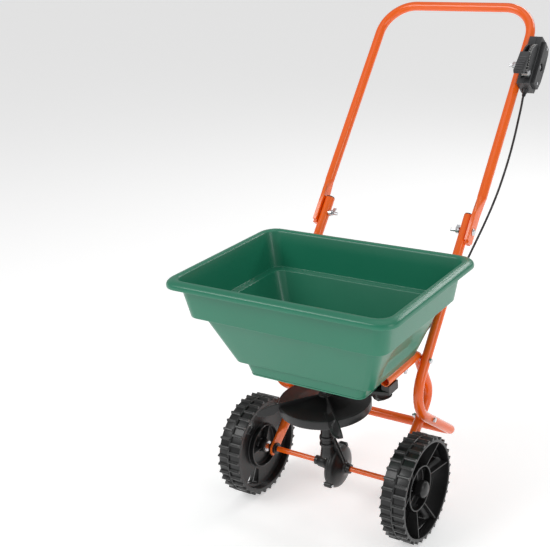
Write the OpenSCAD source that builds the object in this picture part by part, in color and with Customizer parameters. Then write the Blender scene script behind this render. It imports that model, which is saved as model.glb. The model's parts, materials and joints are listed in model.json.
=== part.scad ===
// Walk-behind broadcast spreader: a hopper on a bent-tube frame, two wheels on a
// driven axle, and a spinner that throws what falls through the hopper's outlets.
// +X is the operator's right, +Y points back to the operator, +Z is up.
// Module bodies are written about the axle's own line; on_floor() moves the whole
// machine so that the origin lies on the floor, under the middle of its box.

/* [Wheels and axle] */
// Wheel diameter over the lugs
wheel_d = 230; // [220:2:240]
// Width of a wheel
wheel_w = 55; // [50:1:58]
// Distance from the middle to a wheel's outer face
half_track = 233; // [231:1:236]
// Axle diameter
axle_d = 12; // [11:1:12]
// Lugs in each of a wheel's two rows
lug_count = 34; // [28:2:40]

/* [Hopper] */
// Hopper width over the rim
hopper_w = 534; // [530:2:540]
// Hopper depth over the rim, front to back
hopper_d = 392; // [388:2:396]
// Height of the rim above the floor
rim_z = 580; // [578:1:584]
// Height of the outer ledge
ledge_z = 494; // [490:1:498]
// Height of the inner ledge that the frame carries
seat_z = 381; // [381:1:382]
// Height of the tray's underside
tray_z = 350; // [350:1:351]
// Hopper wall thickness
wall = 3; // [2.5:0.5:3]

/* [Frame and handle] */
// Outer diameter of the frame and handle tubes
tube_d = 22; // [21:1:22]
// Wall of the tubes
tube_wall = 1.6; // [1.2:0.2:2]
// Half the distance between the frame's uprights
upright_x = 180; // [180:1:181]
// Half the distance between the handle's sides
handle_x = 198; // [198:1:199]
// Lean of the uprights and handle from the vertical, in degrees
lean = 41; // [40:0.5:42]
// Length of the handle from its pivot to the grip bar
handle_len = 578; // [570:2:590]

/* [Spinner] */
// Diameter of the spinner disc
disc_d = 200; // [190:2:204]
// Height of the disc's upper edge
disc_z = 286; // [284:1:288]
// Reach of the blades from the shaft
blade_reach = 150; // [138:1:152]

/* [Hidden] */

gap = 0.3;                          // working clearance between pieces that move
run = 0.06;                         // radial clearance of a shaft in its bearing
touch = 0.15;                       // air left between two fixed pieces that lie side by side
tube_r = tube_d / 2;
wheel_r = wheel_d / 2;
axle_r = axle_d / 2;
axle_z = wheel_r;

// hopper outlines: half width, half depth, corner radius, height
hopper_y = -4;
rim_r = 38;
rim_drop = 16;
lip = 20;
band_top = [hopper_w / 2 - lip, hopper_d / 2 - lip, 30];
band_low = [231, 163, 26];
slope_top = [213, 145, 24];
slope_low = [166, 104, 20];
tray_top = [146, 97, 18];
tray_low = [138, 90, 16];

// the upright, drawn in the YZ plane at x = upright_x
upright_top = [329, 617];
upright_knee = [34.2, 278];
stand_corner = [237, 123];
knee_r = 72;
corner_r = 24;
pivot_drop = 38;                    // from the upright's top end to the handle's pivot
up = [sin(lean), cos(lean)];        // along the handle, in the YZ plane
pivot = upright_top - pivot_drop * up;
grip_bar = pivot + handle_len * up;
grip_r = 80;                        // bend at the handle's upper corners
lug_end = 30;                       // how far the handle's flattened end runs past its pivot
flat_len = 44;
flat_w = 27;
flat_t = 9.2;
flat_x = upright_x + tube_r + gap;  // inner face of the handle's flattened end
bolt_r = 4;

// the bracket each side, drawn in the YZ plane at x = bracket_x
bracket_x = upright_x - tube_d - touch;
bracket_front = [-35, seat_z - tube_r - touch];
bracket_bend = [109, seat_z - tube_r - touch];
bracket_knee = [165, 252];
foot_len = 52;                      // from the axle to where its tube starts to flatten
bracket_foot = [0, axle_z] + foot_len * unit(bracket_knee - [0, axle_z]);
bracket_bend_r = 28;
bracket_knee_r = 42;
plate_t = 4.6;
plate_tip = 17;
frame_bolt_r = 3;
upper_bolt = [104.5, 362];
lower_bolt = [118.5, 213.5];
hopper_bolt_y = 55;
hub_flange_r = 13;
bush_r = 9;

// spinner, gears and gearbox
shaft_y = -18;
shaft_r = 4;
shaft_low = 136;
shaft_top = 392;
pinion_r = 8.6;
pinion_teeth = 8;
pinion_z = 141;
pinion_h = 12;
ring_teeth = 32;
ring_r = 38;
ring_face = 9;                      // the ring gear's toothed face, left of its disc
gearbox_half = 36;                  // the gearbox's reach along the axle, each way
housing_r = 46;
housing_x = [3, 29];
split_x = 6;                        // where the gearbox's two halves meet
boss_angles = [-35, 50, 215];
boss_ring = 48;
neck_r = 14;
neck_top = 258;
skin = 3;
clip_z = 376;
wire_r = 1.5;

// outlets and the gate below them
leaf_slots = [[-45, 62, 35], [68, 46, -35], [-100, -4, 60], [106, 18, -60]];
outlet_r = 11.5;
outlet_ring = 72;
outlet_angles = [51, 131, 182];
gate_lag = 3;                       // travel from rest to fully open, in degrees
gate_z = tray_z - gap - 3;
gate_t = 3;
gate_arm = 108;
gate_arm_angle = 15;
plate_h = 7;
plate_z = gate_z - gap - plate_h;
arm_screw_y = -14;
cable_x = 105;

// control, drawn about its own bolt with Z along the handle and -Y facing forward
control_s = 420;
control_bolt_yz = pivot + control_s * up;
control_in = handle_x + tube_r + touch;
control_out = 248;
slot_in = 218.5;
slot_out = 226.5;
slot_mid = (slot_in + slot_out) / 2;
arc_r = 52;
arc_in = 47;
clip_angle = -46;
boot_y = 6;

// the cable's route from the control's boot to the ferrule under the hopper
cable_r = 2.6;
cable_route = [[222.5, 546.09, 857.59], [222.5, 539.53, 850.05], [222.5, 532.97, 842.5],
    [221.3, 526, 822], [218, 519, 795],
    [213, 508, 755], [206, 490, 705], [197, 464, 650], [188, 444, 610], [178, 424, 573],
    [169, 402, 540], [160, 377, 506], [150, 344, 466], [140, 304, 426], [130, 260, 391],
    [120, 216, 366], [112, 176, 351], [107, 148, 345.6], [105, 124, 344.4], [105, 111, 344.4]];

middle_y = (grip_bar[0] + tube_r + hopper_y - hopper_d / 2) / 2;

// ---------- helpers ----------

function unit(v) = v / norm(v);
function side_of(v) = abs(v[0]) > 0.9 ? [0, 0, 1] : [1, 0, 0];
function turn(points, i) = acos(unit(points[i] - points[i - 1]) * unit(points[i + 1] - points[i]));
function setback(points, radii, i) =
    i == 0 || i == len(points) - 1 ? 0 : radii[i] * tan(turn(points, i) / 2);
function inward(points, i) =
    let (into = unit(points[i] - points[i - 1]), out = unit(points[i + 1] - points[i]))
    unit(out - (out * into) * into);
// how far the next bend's plane is turned from this one's, about the leg between them
function roll(points, i) = i + 2 > len(points) - 1 ? 0 :
    let (into = unit(points[i] - points[i - 1]), out = unit(points[i + 1] - points[i]))
    let (here = cos(turn(points, i)) * inward(points, i) - sin(turn(points, i)) * into)
    let (next = inward(points, i + 1))
    atan2(cross(here, next) * out, here * next);
function in_yz(x, list) = [for (p = list) [x, p[0], p[1]]];

module on_floor() translate([0, -middle_y, 0]) children();

module both_sides() {
    children();
    mirror([1, 0, 0]) children();
}

module facing(origin, x_to, y_to, z_to)
    multmatrix([
        [x_to[0], y_to[0], z_to[0], origin[0]],
        [x_to[1], y_to[1], z_to[1], origin[1]],
        [x_to[2], y_to[2], z_to[2], origin[2]],
        [0, 0, 0, 1]])
        children();

module ring_2d(outer, inner) {
    difference() {
        circle(outer, $fn = 48);
        if (inner > 0) circle(inner, $fn = 48);
    }
}

// a round bar or tube along straight legs, with a true round bend at each corner
module bent_tube(points, radii, outer, inner = 0) {
    first = unit(points[1] - points[0]);
    away = len(points) > 2 ? -inward(points, 1) : unit(cross(side_of(first), first));
    facing(points[0], away, cross(first, away), first)
        tube_leg(points, radii, outer, inner, 1);
}

// one leg along Z, then the bend at its end, which turns towards -X, then the rest
module tube_leg(points, radii, outer, inner, i) {
    leg = norm(points[i] - points[i - 1]) - setback(points, radii, i - 1) - setback(points, radii, i);
    linear_extrude(leg) ring_2d(outer, inner);
    if (i < len(points) - 1) {
        angle = turn(points, i);
        translate([-radii[i], 0, leg]) {
            rotate([90, 0, 0]) rotate_extrude(angle = angle, $fn = 96)
                translate([radii[i], 0]) ring_2d(outer, inner);
            rotate([0, -angle, 0]) translate([radii[i], 0, 0]) rotate([0, 0, roll(points, i)])
                tube_leg(points, radii, outer, inner, i + 1);
        }
    }
}

// the points of a path whose corners are rounded off
function corner_points(points, radii, i, steps) =
    i == 0 || i == len(points) - 1 ? [points[i]] :
    let (into = unit(points[i] - points[i - 1]), side = inward(points, i))
    let (centre = points[i] - into * setback(points, radii, i) + side * radii[i])
    [for (k = [0 : steps]) let (a = turn(points, i) * k / steps)
        centre + radii[i] * (sin(a) * into - cos(a) * side)];
function rounded_path(points, radii, steps) =
    [for (i = [0 : len(points) - 1]) each corner_points(points, radii, i, steps)];

// a flat-sided bar or tube through a list of points, one ring of corners a point
function ring_points(p, i, r, sides, axis) =
    let (d = unit(p[min(i + 1, len(p) - 1)] - p[max(i - 1, 0)]), a = unit(cross(d, axis)), b = cross(a, d))
    [for (k = [0 : sides - 1]) p[i] + r * (cos(360 * k / sides) * a + sin(360 * k / sides) * b)];
function lattice(rings, sides, first, flip) =
    [for (i = [0 : rings - 2], k = [0 : sides - 1])
        let (n = first + i * sides, m = (k + 1) % sides)
        flip ? [n + m, n + k, n + sides + k, n + sides + m] : [n + k, n + m, n + sides + m, n + sides + k]];

module swept(points, r, sides, bore = 0, axis = [1, 0, 0]) {
    rings = len(points);
    in = rings * sides;
    last = (rings - 1) * sides;
    outside = [for (i = [0 : rings - 1]) each ring_points(points, i, r, sides, axis)];
    inside = [for (i = [0 : rings - 1]) each ring_points(points, i, bore, sides, axis)];
    ends = bore == 0 ? [[for (k = [sides - 1 : -1 : 0]) k], [for (k = [0 : sides - 1]) last + k]] :
        [for (k = [0 : sides - 1]) let (m = (k + 1) % sides)
            each [[m, k, in + k, in + m], [last + k, last + m, in + last + m, in + last + k]]];
    polyhedron(
        bore == 0 ? outside : concat(outside, inside),
        concat(lattice(rings, sides, 0, false), ends, bore == 0 ? [] : lattice(rings, sides, in, true)));
}

module rod_x(x0, x1, yz, r)
    translate([x0, yz[0], yz[1]]) rotate([0, 90, 0]) cylinder(x1 - x0, r = r, $fn = 48);

module hex_x(x0, x1, yz, across)
    translate([x0, yz[0], yz[1]]) rotate([0, 90, 0]) cylinder(x1 - x0, d = across / cos(30), $fn = 6);

module rounded(outline) {
    inset = [outline[0] - outline[2], outline[1] - outline[2]];
    square([2 * outline[0], 2 * inset[1]], center = true);
    square([2 * inset[0], 2 * outline[1]], center = true);
    for (sx = [-1, 1], sy = [-1, 1])
        translate([sx * inset[0], sy * inset[1]]) circle(outline[2], $fn = 48);
}

function smaller(outline, by) = [outline[0] - by, outline[1] - by, outline[2] - by];

module tapered(low, low_z, high, high_z) {
    thin = 0.02;
    hull() {
        for (end = [[low, low_z], [high, high_z - thin]])
            for (sx = [-1, 1], sy = [-1, 1])
                translate([sx * (end[0][0] - end[0][2]), hopper_y + sy * (end[0][1] - end[0][2]), end[1]])
                    cylinder(thin, r = end[0][2], $fn = 32);
    }
}

module around_pivot(yz) translate([0, yz[0], yz[1]]) rotate([-lean, 0, 0]) children();

module at_outlets() {
    for (a = outlet_angles)
        translate([outlet_ring * cos(a), shaft_y + outlet_ring * sin(a), 0]) children();
}

// ---------- hopper ----------

module hopper_shell() {
    difference() {
        union() {
            tapered(band_low, ledge_z, band_top, rim_z - 2);
            tapered(slope_low, seat_z, slope_top, ledge_z + 1);
            tapered(tray_low, tray_z, tray_top, seat_z + 1);
            translate([0, hopper_y, rim_z - rim_drop]) linear_extrude(rim_drop)
                rounded([hopper_w / 2, hopper_d / 2, rim_r]);
        }
        tapered(smaller(band_low, wall), ledge_z + wall, smaller(band_top, wall), rim_z + 1);
        tapered(smaller(slope_low, wall), seat_z + wall, smaller(slope_top, wall), ledge_z + wall + 1);
        tapered(smaller(tray_low, wall), tray_z + wall, smaller(tray_top, wall), seat_z + wall + 1);
        translate([0, hopper_y, rim_z - rim_drop - 1]) linear_extrude(rim_drop - wall + 1)
            difference() {
                rounded(smaller([hopper_w / 2, hopper_d / 2, rim_r], wall));
                rounded(band_top);
            }
    }
}

module hopper() {
    color("seagreen") difference() {
        hopper_shell();
        at_outlets() translate([0, 0, tray_z - 1]) cylinder(wall + 2, r = outlet_r);
        translate([0, shaft_y, tray_z - 1]) cylinder(wall + 2, r = bush_r);
        both_sides() translate([bracket_x, hopper_bolt_y, seat_z - 1]) cylinder(wall + 2, r = frame_bolt_r);
        for (slot = leaf_slots) translate([slot[0], slot[1], tray_z - 1]) linear_extrude(wall + 2)
            rotate(slot[2]) leaf();
    }
}

module leaf() intersection_for (s = [-1, 1]) translate([0, 9 * s]) circle(13, $fn = 48);

module floor_bushing() {
    color("black") translate([0, shaft_y, 0]) difference() {
        union() {
            translate([0, 0, plate_z]) cylinder(tray_z + wall - plate_z, r = bush_r - touch);
            translate([0, 0, tray_z + wall]) cylinder(2.5, r = bush_r + 4);
        }
        translate([0, 0, plate_z - 1]) cylinder(40, r = shaft_r + run);
    }
}

// ---------- frame ----------

module main_frame() {
    right = in_yz(upright_x, [upright_top, upright_knee, stand_corner]);
    left = in_yz(-upright_x, [stand_corner, upright_knee, upright_top]);
    color("orangered") difference() {
        swept(rounded_path(concat(right, left), [0, knee_r, corner_r, corner_r, knee_r, 0], 8),
            tube_r, 24, tube_r - tube_wall, [0, 1, 0]);
        both_sides() {
            for (p = [upper_bolt, lower_bolt]) rod_x(upright_x - 20, upright_x + 20, p, frame_bolt_r);
            rod_x(upright_x - 20, upright_x + 20, pivot, bolt_r);
        }
    }
}

module frame_end_plugs() {
    color("black") both_sides()
        translate([upright_x, upright_top[0], upright_top[1]]) rotate([-lean, 0, 0]) {
            cylinder(3, r1 = tube_r, r2 = tube_r - 1.5);
            translate([0, 0, -12]) cylinder(12, r = tube_r - tube_wall - 0.2);
        }
}

module from_axle() {
    // Z runs from the axle up towards the bracket's tube
    along = unit(bracket_foot - [0, axle_z]);
    translate([bracket_x, 0, axle_z]) rotate([-atan2(along[0], along[1]), 0, 0]) children();
}

module bracket_flat() {
    // the tube's end, pressed flat and cropped to a blunt point past the axle
    from_axle() {
        translate([-plate_t / 2, -15, -6]) cube([plate_t, 30, 38]);
        rotate([90, 0, 90]) translate([0, 0, -plate_t / 2]) linear_extrude(plate_t)
            polygon([[-15, -5], [-4, -plate_tip], [4, -plate_tip], [15, -5]]);
        hull() {
            translate([-plate_t / 2, -15, 30]) cube([plate_t, 30, 1]);
            translate([0, 0, foot_len]) cylinder(1, r = tube_r - 0.5, $fn = 32);
        }
    }
}

module axle_bracket(side) {
    color("orangered") mirror([side < 0 ? 1 : 0, 0, 0]) difference() {
        union() {
            swept(rounded_path(in_yz(bracket_x, [bracket_front, bracket_bend, bracket_knee, bracket_foot]),
                [0, bracket_bend_r, bracket_knee_r, 0], 8), tube_r, 24, tube_r - tube_wall);
            bracket_flat();
        }
        rod_x(bracket_x - 20, bracket_x + 20, [0, axle_z], bush_r);
        for (p = [upper_bolt, lower_bolt]) rod_x(bracket_x - 20, bracket_x + 20, p, frame_bolt_r);
        translate([bracket_x, hopper_bolt_y, seat_z - 40]) cylinder(60, r = frame_bolt_r);
        translate([bracket_x, arm_screw_y, seat_z - 40]) cylinder(22, r = frame_bolt_r);
    }
}

module frame_bolts() {
    inner = bracket_x - tube_r - 9;
    outer = upright_x + tube_r;
    color("silver") both_sides() for (p = [upper_bolt, lower_bolt]) {
        rod_x(inner, outer, p, frame_bolt_r);
        hex_x(outer, outer + 4, p, 10);
    }
}

module frame_nuts() {
    face = bracket_x - tube_r;
    color("silver") both_sides() for (p = [upper_bolt, lower_bolt]) difference() {
        hex_x(face - 5, face, p, 10);
        rod_x(face - 6, face + 1, p, frame_bolt_r);
    }
}

module hopper_bolts() {
    color("silver") both_sides() translate([bracket_x, hopper_bolt_y, 0]) {
        translate([0, 0, seat_z - 34]) cylinder(34 + wall, r = frame_bolt_r);
        translate([0, 0, seat_z + wall]) intersection() {
            cylinder(3, r = 5);
            translate([0, 0, -3]) sphere(6.2);
        }
    }
}

module hopper_nuts() {
    face = bracket_front[1] - tube_r;
    color("silver") both_sides() translate([bracket_x, hopper_bolt_y, face - 5]) difference() {
        cylinder(5, d = 10 / cos(30), $fn = 6);
        translate([0, 0, -1]) cylinder(7, r = frame_bolt_r);
    }
}

// ---------- under the hopper ----------

module base_bracket() {
    saddle = bracket_front[1] - tube_r - touch;
    color("dimgray") difference() {
        union() {
            translate([0, 0, plate_z]) linear_extrude(plate_h)
                polygon([[-98, -30], [-62, -62], [62, -62], [124, -40],
                    [128, 40], [112, 84], [-80, 84], [-98, 60]]);
            translate([92, 60, plate_z]) cube([26, 47, plate_h]);
            translate([97, 92, plate_z - 6]) cube([16, 15, 17]);
            both_sides() {
                translate([0, 0, plate_z]) linear_extrude(plate_h)
                    polygon([[60, -62], [bracket_x + 9, -34], [bracket_x + 9, 4], [60, 20]]);
                translate([bracket_x - 9, -34, plate_z]) cube([18, 38, saddle - plate_z]);
            }
        }
        at_outlets() translate([0, 0, plate_z - 1]) cylinder(plate_h + 2, r = outlet_r + 2);
        translate([0, shaft_y, plate_z - 1]) cylinder(plate_h + 2, r = bush_r);
        translate([86, -34, plate_z + 2]) cube([32, 122, plate_h]);
        translate([cable_x, -30, plate_z + 5]) rotate([-90, 0, 0]) cylinder(150, r = 4);
        both_sides() translate([bracket_x, arm_screw_y, plate_z - 1]) cylinder(30, r = frame_bolt_r);
    }
}

module bracket_screws() {
    color("silver") both_sides() translate([bracket_x, arm_screw_y, 0]) {
        translate([0, 0, plate_z]) cylinder(27, r = frame_bolt_r);
        translate([0, 0, plate_z - 4]) cylinder(4, d = 10 / cos(30), $fn = 6);
    }
}

module cable_ferrule() {
    color("silver") translate([cable_x, 0, plate_z + 5]) rotate([-90, 0, 0]) difference() {
        union() {
            translate([0, 0, 88]) cylinder(22, r = 4 - touch);
            translate([0, 0, 107 + touch]) cylinder(3, r = 6);
        }
        translate([0, 0, 80]) cylinder(40, r = 1);
        translate([0, 0, 104]) cylinder(10, r = cable_r + 0.2);
    }
}

module gate_slots() {
    // each window is an arc that lags its outlet a little, so that the lever's end opens it fully
    half = asin(outlet_r / outlet_ring) + 0.6;
    for (a = outlet_angles)
        rotate([0, 0, a - half - gate_lag]) rotate_extrude(angle = 2 * half, $fn = 96)
            translate([outlet_ring - outlet_r - 0.6, -1]) square([2 * outlet_r + 1.2, gate_t + 2]);
}

module gate_plate() {
    color("gray") translate([0, shaft_y, gate_z]) difference() {
        union() {
            rotate([0, 0, 22]) rotate_extrude(angle = 190, $fn = 96) translate([16, 0]) square([71, gate_t]);
            cylinder(gate_t, r = 20);
            rotate([0, 0, gate_arm_angle]) translate([0, -9, 0]) cube([gate_arm, 18, gate_t]);
            rotate([0, 0, gate_arm_angle]) translate([gate_arm, 0, 0]) cylinder(gate_t, r = 9);
        }
        gate_slots();
        translate([0, 0, -1]) cylinder(gate_t + 2, r = bush_r + gap);
        rotate([0, 0, gate_arm_angle]) translate([gate_arm, 0, -1]) cylinder(gate_t + 2, r = 2);
    }
}

module gate_wire() {
    tip = [gate_arm * cos(gate_arm_angle), shaft_y + gate_arm * sin(gate_arm_angle)];
    color("silver") {
        translate([tip[0], tip[1], gate_z - 4.8]) cylinder(gate_t + 4.8, r = 2);
        translate([tip[0], tip[1], gate_z - 4.8]) cylinder(4.6, r = 4);
    }
}

// ---------- gearbox ----------

function boss(angle) = [boss_ring * cos(angle), axle_z + boss_ring * sin(angle)];

module gearbox_solid() {
    rod_x(housing_x[0], housing_x[1] - 4, [0, axle_z], housing_r);
    rod_x(housing_x[0], housing_x[1], [0, axle_z], housing_r - 4);
    rod_x(-gearbox_half, gearbox_half, [0, axle_z], 13);
    translate([0, shaft_y, 134]) cylinder(neck_top - 134, r = neck_r);
    translate([-neck_r, shaft_y, 103]) cube([2 * neck_r, 30, 68]);
    for (z = [176, 192]) translate([0, shaft_y, z]) cylinder(7, r = neck_r + 3);
    for (a = boss_angles) rod_x(0, housing_x[1] - 2, boss(a), 5.5);
    hull() {
        translate([neck_r - 3, shaft_y, 232]) sphere(5, $fn = 24);
        translate([29, -2, 134]) sphere(6, $fn = 24);
    }
}

module gearbox_hollow() {
    rod_x(split_x, housing_x[1] - skin, [0, axle_z], housing_r - skin);
    translate([0, shaft_y, shaft_low - 3]) cylinder(pinion_h + 12, r = pinion_r + 1.4);
    translate([0, shaft_y, shaft_low - 3]) cylinder(neck_top - shaft_low + 4, r = 8);
    rod_x(-gearbox_half - 1, gearbox_half + 1, [0, axle_z], 9);
    for (a = boss_angles) rod_x(-1, 22, boss(a), 2);
}

module gearbox_half(low, high) {
    color("black") intersection() {
        difference() {
            gearbox_solid();
            gearbox_hollow();
        }
        translate([low, -100, 0]) cube([high - low, 200, 300]);
    }
}

module gearbox_screws() {
    color("silver") for (a = boss_angles) {
        rod_x(0, 22, boss(a), 2);
        rod_x(-2.5, 0, boss(a), 4);
    }
}

module gearbox_axle_bushes() {
    color("lightgray") both_sides() difference() {
        rod_x(gearbox_half - 10, gearbox_half + 1, [0, axle_z], 9 - touch);
        rod_x(gearbox_half - 11, gearbox_half + 2, [0, axle_z], axle_r + run);
    }
}

module shaft_bush() {
    color("goldenrod") translate([0, shaft_y, 0]) difference() {
        union() {
            translate([0, 0, 168]) cylinder(12, r = 8 - touch);
            translate([0, 0, neck_top - 12]) cylinder(12, r = 8 - touch);
        }
        translate([0, 0, 160]) cylinder(120, r = shaft_r + run);
    }
}

module axle_bushing(side) {
    color("black") mirror([side < 0 ? 1 : 0, 0, 0]) difference() {
        union() {
            rod_x(bracket_x - 10, bracket_x + 10, [0, axle_z], bush_r - touch);
            rod_x(bracket_x - 8, bracket_x - plate_t / 2 - touch, [0, axle_z], hub_flange_r);
            rod_x(bracket_x + plate_t / 2 + touch, bracket_x + 8, [0, axle_z], hub_flange_r);
        }
        rod_x(bracket_x - 12, bracket_x + 12, [0, axle_z], axle_r + run);
    }
}

// ---------- axle and wheels ----------

hub_in = half_track - wheel_w;      // a wheel's inner face
hub_out = half_track - 12;          // end of its hub
cap_r = 19;

module axle() {
    color("orangered") difference() {
        rod_x(-hub_out - 8, hub_out + 8, [0, axle_z], axle_r);
        translate([half_track - 30, 0, axle_z]) rotate([90, 0, 0]) cylinder(40, r = 2, center = true);
        translate([-hub_out - 4.5, 0, axle_z]) cylinder(40, r = 1.6, center = true);
        translate([16, 0, axle_z]) cylinder(40, r = 1.5, center = true);
    }
}

module lug(low, high) {
    // one tread block, its sides narrowing toward the ground
    translate([0, 0, low]) linear_extrude(high - low)
        polygon([[wheel_r - 8, -3], [wheel_r, -1.8], [wheel_r, 1.8], [wheel_r - 8, 3]]);
}

module wheel_body() {
    // drawn along Z from the wheel's inner face to its outer face
    tread = wheel_r - 6;
    rim_in = tread - 6;
    web_z = 16;
    middle = wheel_w / 2;
    spokes = 3;
    difference() {
        union() {
            rotate_extrude($fn = 120) polygon([[axle_r + run, 0], [15, 0], [15, web_z], [46.5, web_z],
                [46.5, 4], [50, 4], [50, web_z], [rim_in, web_z],
                [rim_in, 0], [tread, 0], [tread, middle - 2], [wheel_r - 2, middle - 2],
                [wheel_r - 2, middle + 2], [tread, middle + 2], [tread, wheel_w], [rim_in, wheel_w],
                [rim_in, web_z + 4], [50, web_z + 4], [50, web_z + 22], [46.5, web_z + 22],
                [46.5, web_z + 4], [15, web_z + 4], [15, wheel_w - 12], [axle_r + run, wheel_w - 12]]);
            for (i = [0 : lug_count - 1]) {
                rotate([0, 0, 360 * i / lug_count]) lug(1, middle - 1);
                rotate([0, 0, 360 * (i + 0.5) / lug_count]) lug(middle + 1, wheel_w - 1);
            }
            for (i = [0 : spokes - 1], s = [-1, 1]) rotate([0, 0, 360 * i / spokes + 21 * s])
                translate([48, -1.5, web_z + 1]) cube([57, 3, 19]);
            for (i = [0 : spokes - 1]) rotate([0, 0, 360 * (i + 0.5) / spokes])
                translate([13, -1.2, web_z + 1]) cube([35, 2.4, 13]);
        }
        for (i = [0 : spokes - 1]) rotate([0, 0, 360 * i / spokes]) window();
    }
}

module window() {
    intersection() {
        linear_extrude(60, center = true) polygon([[57, -11], [100, -28], [100, 28], [57, 11]]);
        cylinder(70, r = 94, center = true, $fn = 120);
    }
}

module wheel_right() {
    color("black") difference() {
        translate([hub_in, 0, axle_z]) rotate([0, 90, 0]) wheel_body();
        translate([half_track - 30, 0, axle_z]) rotate([90, 0, 0]) cylinder(40, r = 2, center = true);
    }
}

module wheel_left() {
    color("black") translate([-hub_in, 0, axle_z]) rotate([0, -90, 0]) wheel_body();
}

module drive_pin() {
    color("silver") translate([half_track - 30, 0, axle_z]) rotate([90, 0, 0])
        cylinder(34, r = 2, center = true);
}

module hub_cap(side) {
    color("black") mirror([side < 0 ? 1 : 0, 0, 0]) translate([0, 0, axle_z]) rotate([0, 90, 0])
        rotate_extrude($fn = 96) polygon(concat(
            [[15.2, hub_out - 10], [cap_r, hub_out - 10]],
            [for (a = [0 : 15 : 90]) [cap_r * cos(a), hub_out + 2 + 10 * sin(a)]],
            [for (a = [90 : -15 : 0]) [(cap_r - 2.2) * cos(a), hub_out + 1.5 + 8 * sin(a)]],
            [[15.2, hub_out + 0.4]]));
}

module axle_washers() {
    // one thrust washer inside each wheel, and one under the left wheel's pin
    color("silver") for (x = [hub_in - 2.4, -hub_in + 0.4, -hub_out - 2]) difference() {
        rod_x(x, x + 1.6, [0, axle_z], 12);
        rod_x(x - 1, x + 3, [0, axle_z], axle_r);
    }
}

module axle_collars() {
    color("black") both_sides() difference() {
        rod_x(gearbox_half + 1.4, gearbox_half + 9, [0, axle_z], 10.5);
        rod_x(gearbox_half, gearbox_half + 10, [0, axle_z], axle_r);
    }
}

module ring_gear() {
    color("gray") difference() {
        union() {
            rod_x(ring_face + 5, ring_face + 11, [0, axle_z], ring_r);
            for (i = [0 : ring_teeth - 1])
                translate([ring_face, 0, axle_z]) rotate([360 * i / ring_teeth, 0, 0])
                    translate([0, -1.1, ring_r - 10]) cube([6, 2.2, 8]);
        }
        rod_x(ring_face - 1, ring_face + 14, [0, axle_z], axle_r);
        translate([16, 0, axle_z]) cylinder(100, r = 1.5, center = true);
    }
}

module gear_pin() {
    color("silver") translate([16, 0, axle_z]) cylinder(56, r = 1.5, center = true);
}

module retaining_pin() {
    color("silver") translate([-hub_out - 4.5, 0, axle_z]) {
        cylinder(20, r = 1.6, center = true);
        translate([0, 0, 9]) cylinder(1.5, r = 2.3);
    }
}

// ---------- spinner ----------

module spinner_blade() {
    // an upright vane with a folded foot on the disc, and a lip where it overhangs the rim
    overhang = blade_reach - 26;
    translate([12, -2, disc_z - 3]) cube([blade_reach - 15, 4, 15]);
    translate([20, -16, disc_z - 3]) cube([blade_reach - 26, 16, 3]);
    translate([overhang, -16, disc_z - 18]) cube([3, 18, 17]);
    translate([overhang, -2, disc_z - 18]) cube([23, 4, 17]);
}

module spinner_disc() {
    disc_r = disc_d / 2;
    color("black") translate([0, shaft_y, 0]) difference() {
        union() {
            translate([0, 0, disc_z - 4]) cylinder(4, r = disc_r);
            translate([0, 0, disc_z - 19]) linear_extrude(17) ring_2d(disc_r, disc_r - 4);
            translate([0, 0, neck_top + 2]) cylinder(disc_z + 14 - neck_top - 2, r = 14);
            translate([0, 0, disc_z - 1]) cylinder(11, r1 = 60, r2 = 14);
            for (i = [0 : 3]) rotate([0, 0, 45 + 90 * i]) spinner_blade();
        }
        translate([0, 0, neck_top]) cylinder(60, r = shaft_r);
        translate([0, 0, disc_z + 7]) rotate([90, 0, 0]) cylinder(60, r = 1.5, center = true);
    }
}

module spinner_pin() {
    color("silver") translate([0, shaft_y, disc_z + 7]) rotate([90, 0, 0])
        cylinder(28, r = 1.5, center = true);
}

module spinner_shaft() {
    color("silver") translate([0, shaft_y, 0]) difference() {
        translate([0, 0, shaft_low]) cylinder(shaft_top - shaft_low, r = shaft_r);
        translate([0, 0, disc_z + 7]) rotate([90, 0, 0]) cylinder(20, r = 1.5, center = true);
        translate([0, 0, clip_z]) rotate([0, 90, 52]) cylinder(20, r = wire_r, center = true);
    }
}

module pinion() {
    color("gray") translate([0, shaft_y, pinion_z]) linear_extrude(pinion_h) difference() {
        union() {
            circle(pinion_r - 3, $fn = 48);
            for (i = [0 : pinion_teeth - 1]) rotate([0, 0, 360 * (i + 0.5) / pinion_teeth])
                translate([0, -1.1]) square([pinion_r, 2.2]);
        }
        circle(shaft_r, $fn = 48);
    }
}

module agitator_clip() {
    // a spring clip: one straight leg through the shaft, a bow, and a leg hooked round it
    color("silver") translate([0, shaft_y, clip_z]) rotate([0, 0, 52])
        swept(rounded_path([[-58, 0, 0], [48, 0, 0], [48, 14, 0], [33, 14, 0], [33, 5.2, 0], [12, 9.2, 0],
            [0, 6.6, 0], [-14, 10, 0], [-38, 15, 0]],
            [0, 5, 5, 5, 3, 5, 8, 8, 0], 4), wire_r, 8, 0, [0, 0, 1]);
}

// ---------- handle ----------

module handle_end(side) {
    mirror([side < 0 ? 1 : 0, 0, 0]) around_pivot(pivot) {
        translate([flat_x, 0, 0]) rotate([90, 0, 90]) linear_extrude(flat_t) {
            translate([-flat_w / 2, -lug_end + 6]) square([flat_w, flat_len + lug_end - 6]);
            translate([-flat_w / 2 + 6, -lug_end]) square([flat_w - 12, 10]);
        }
        hull() {
            translate([flat_x, -flat_w / 2, flat_len - 1]) cube([flat_t, flat_w, 1]);
            translate([handle_x, 0, flat_len + 38]) cylinder(2, r = tube_r - 0.5, $fn = 32);
        }
    }
}

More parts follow.
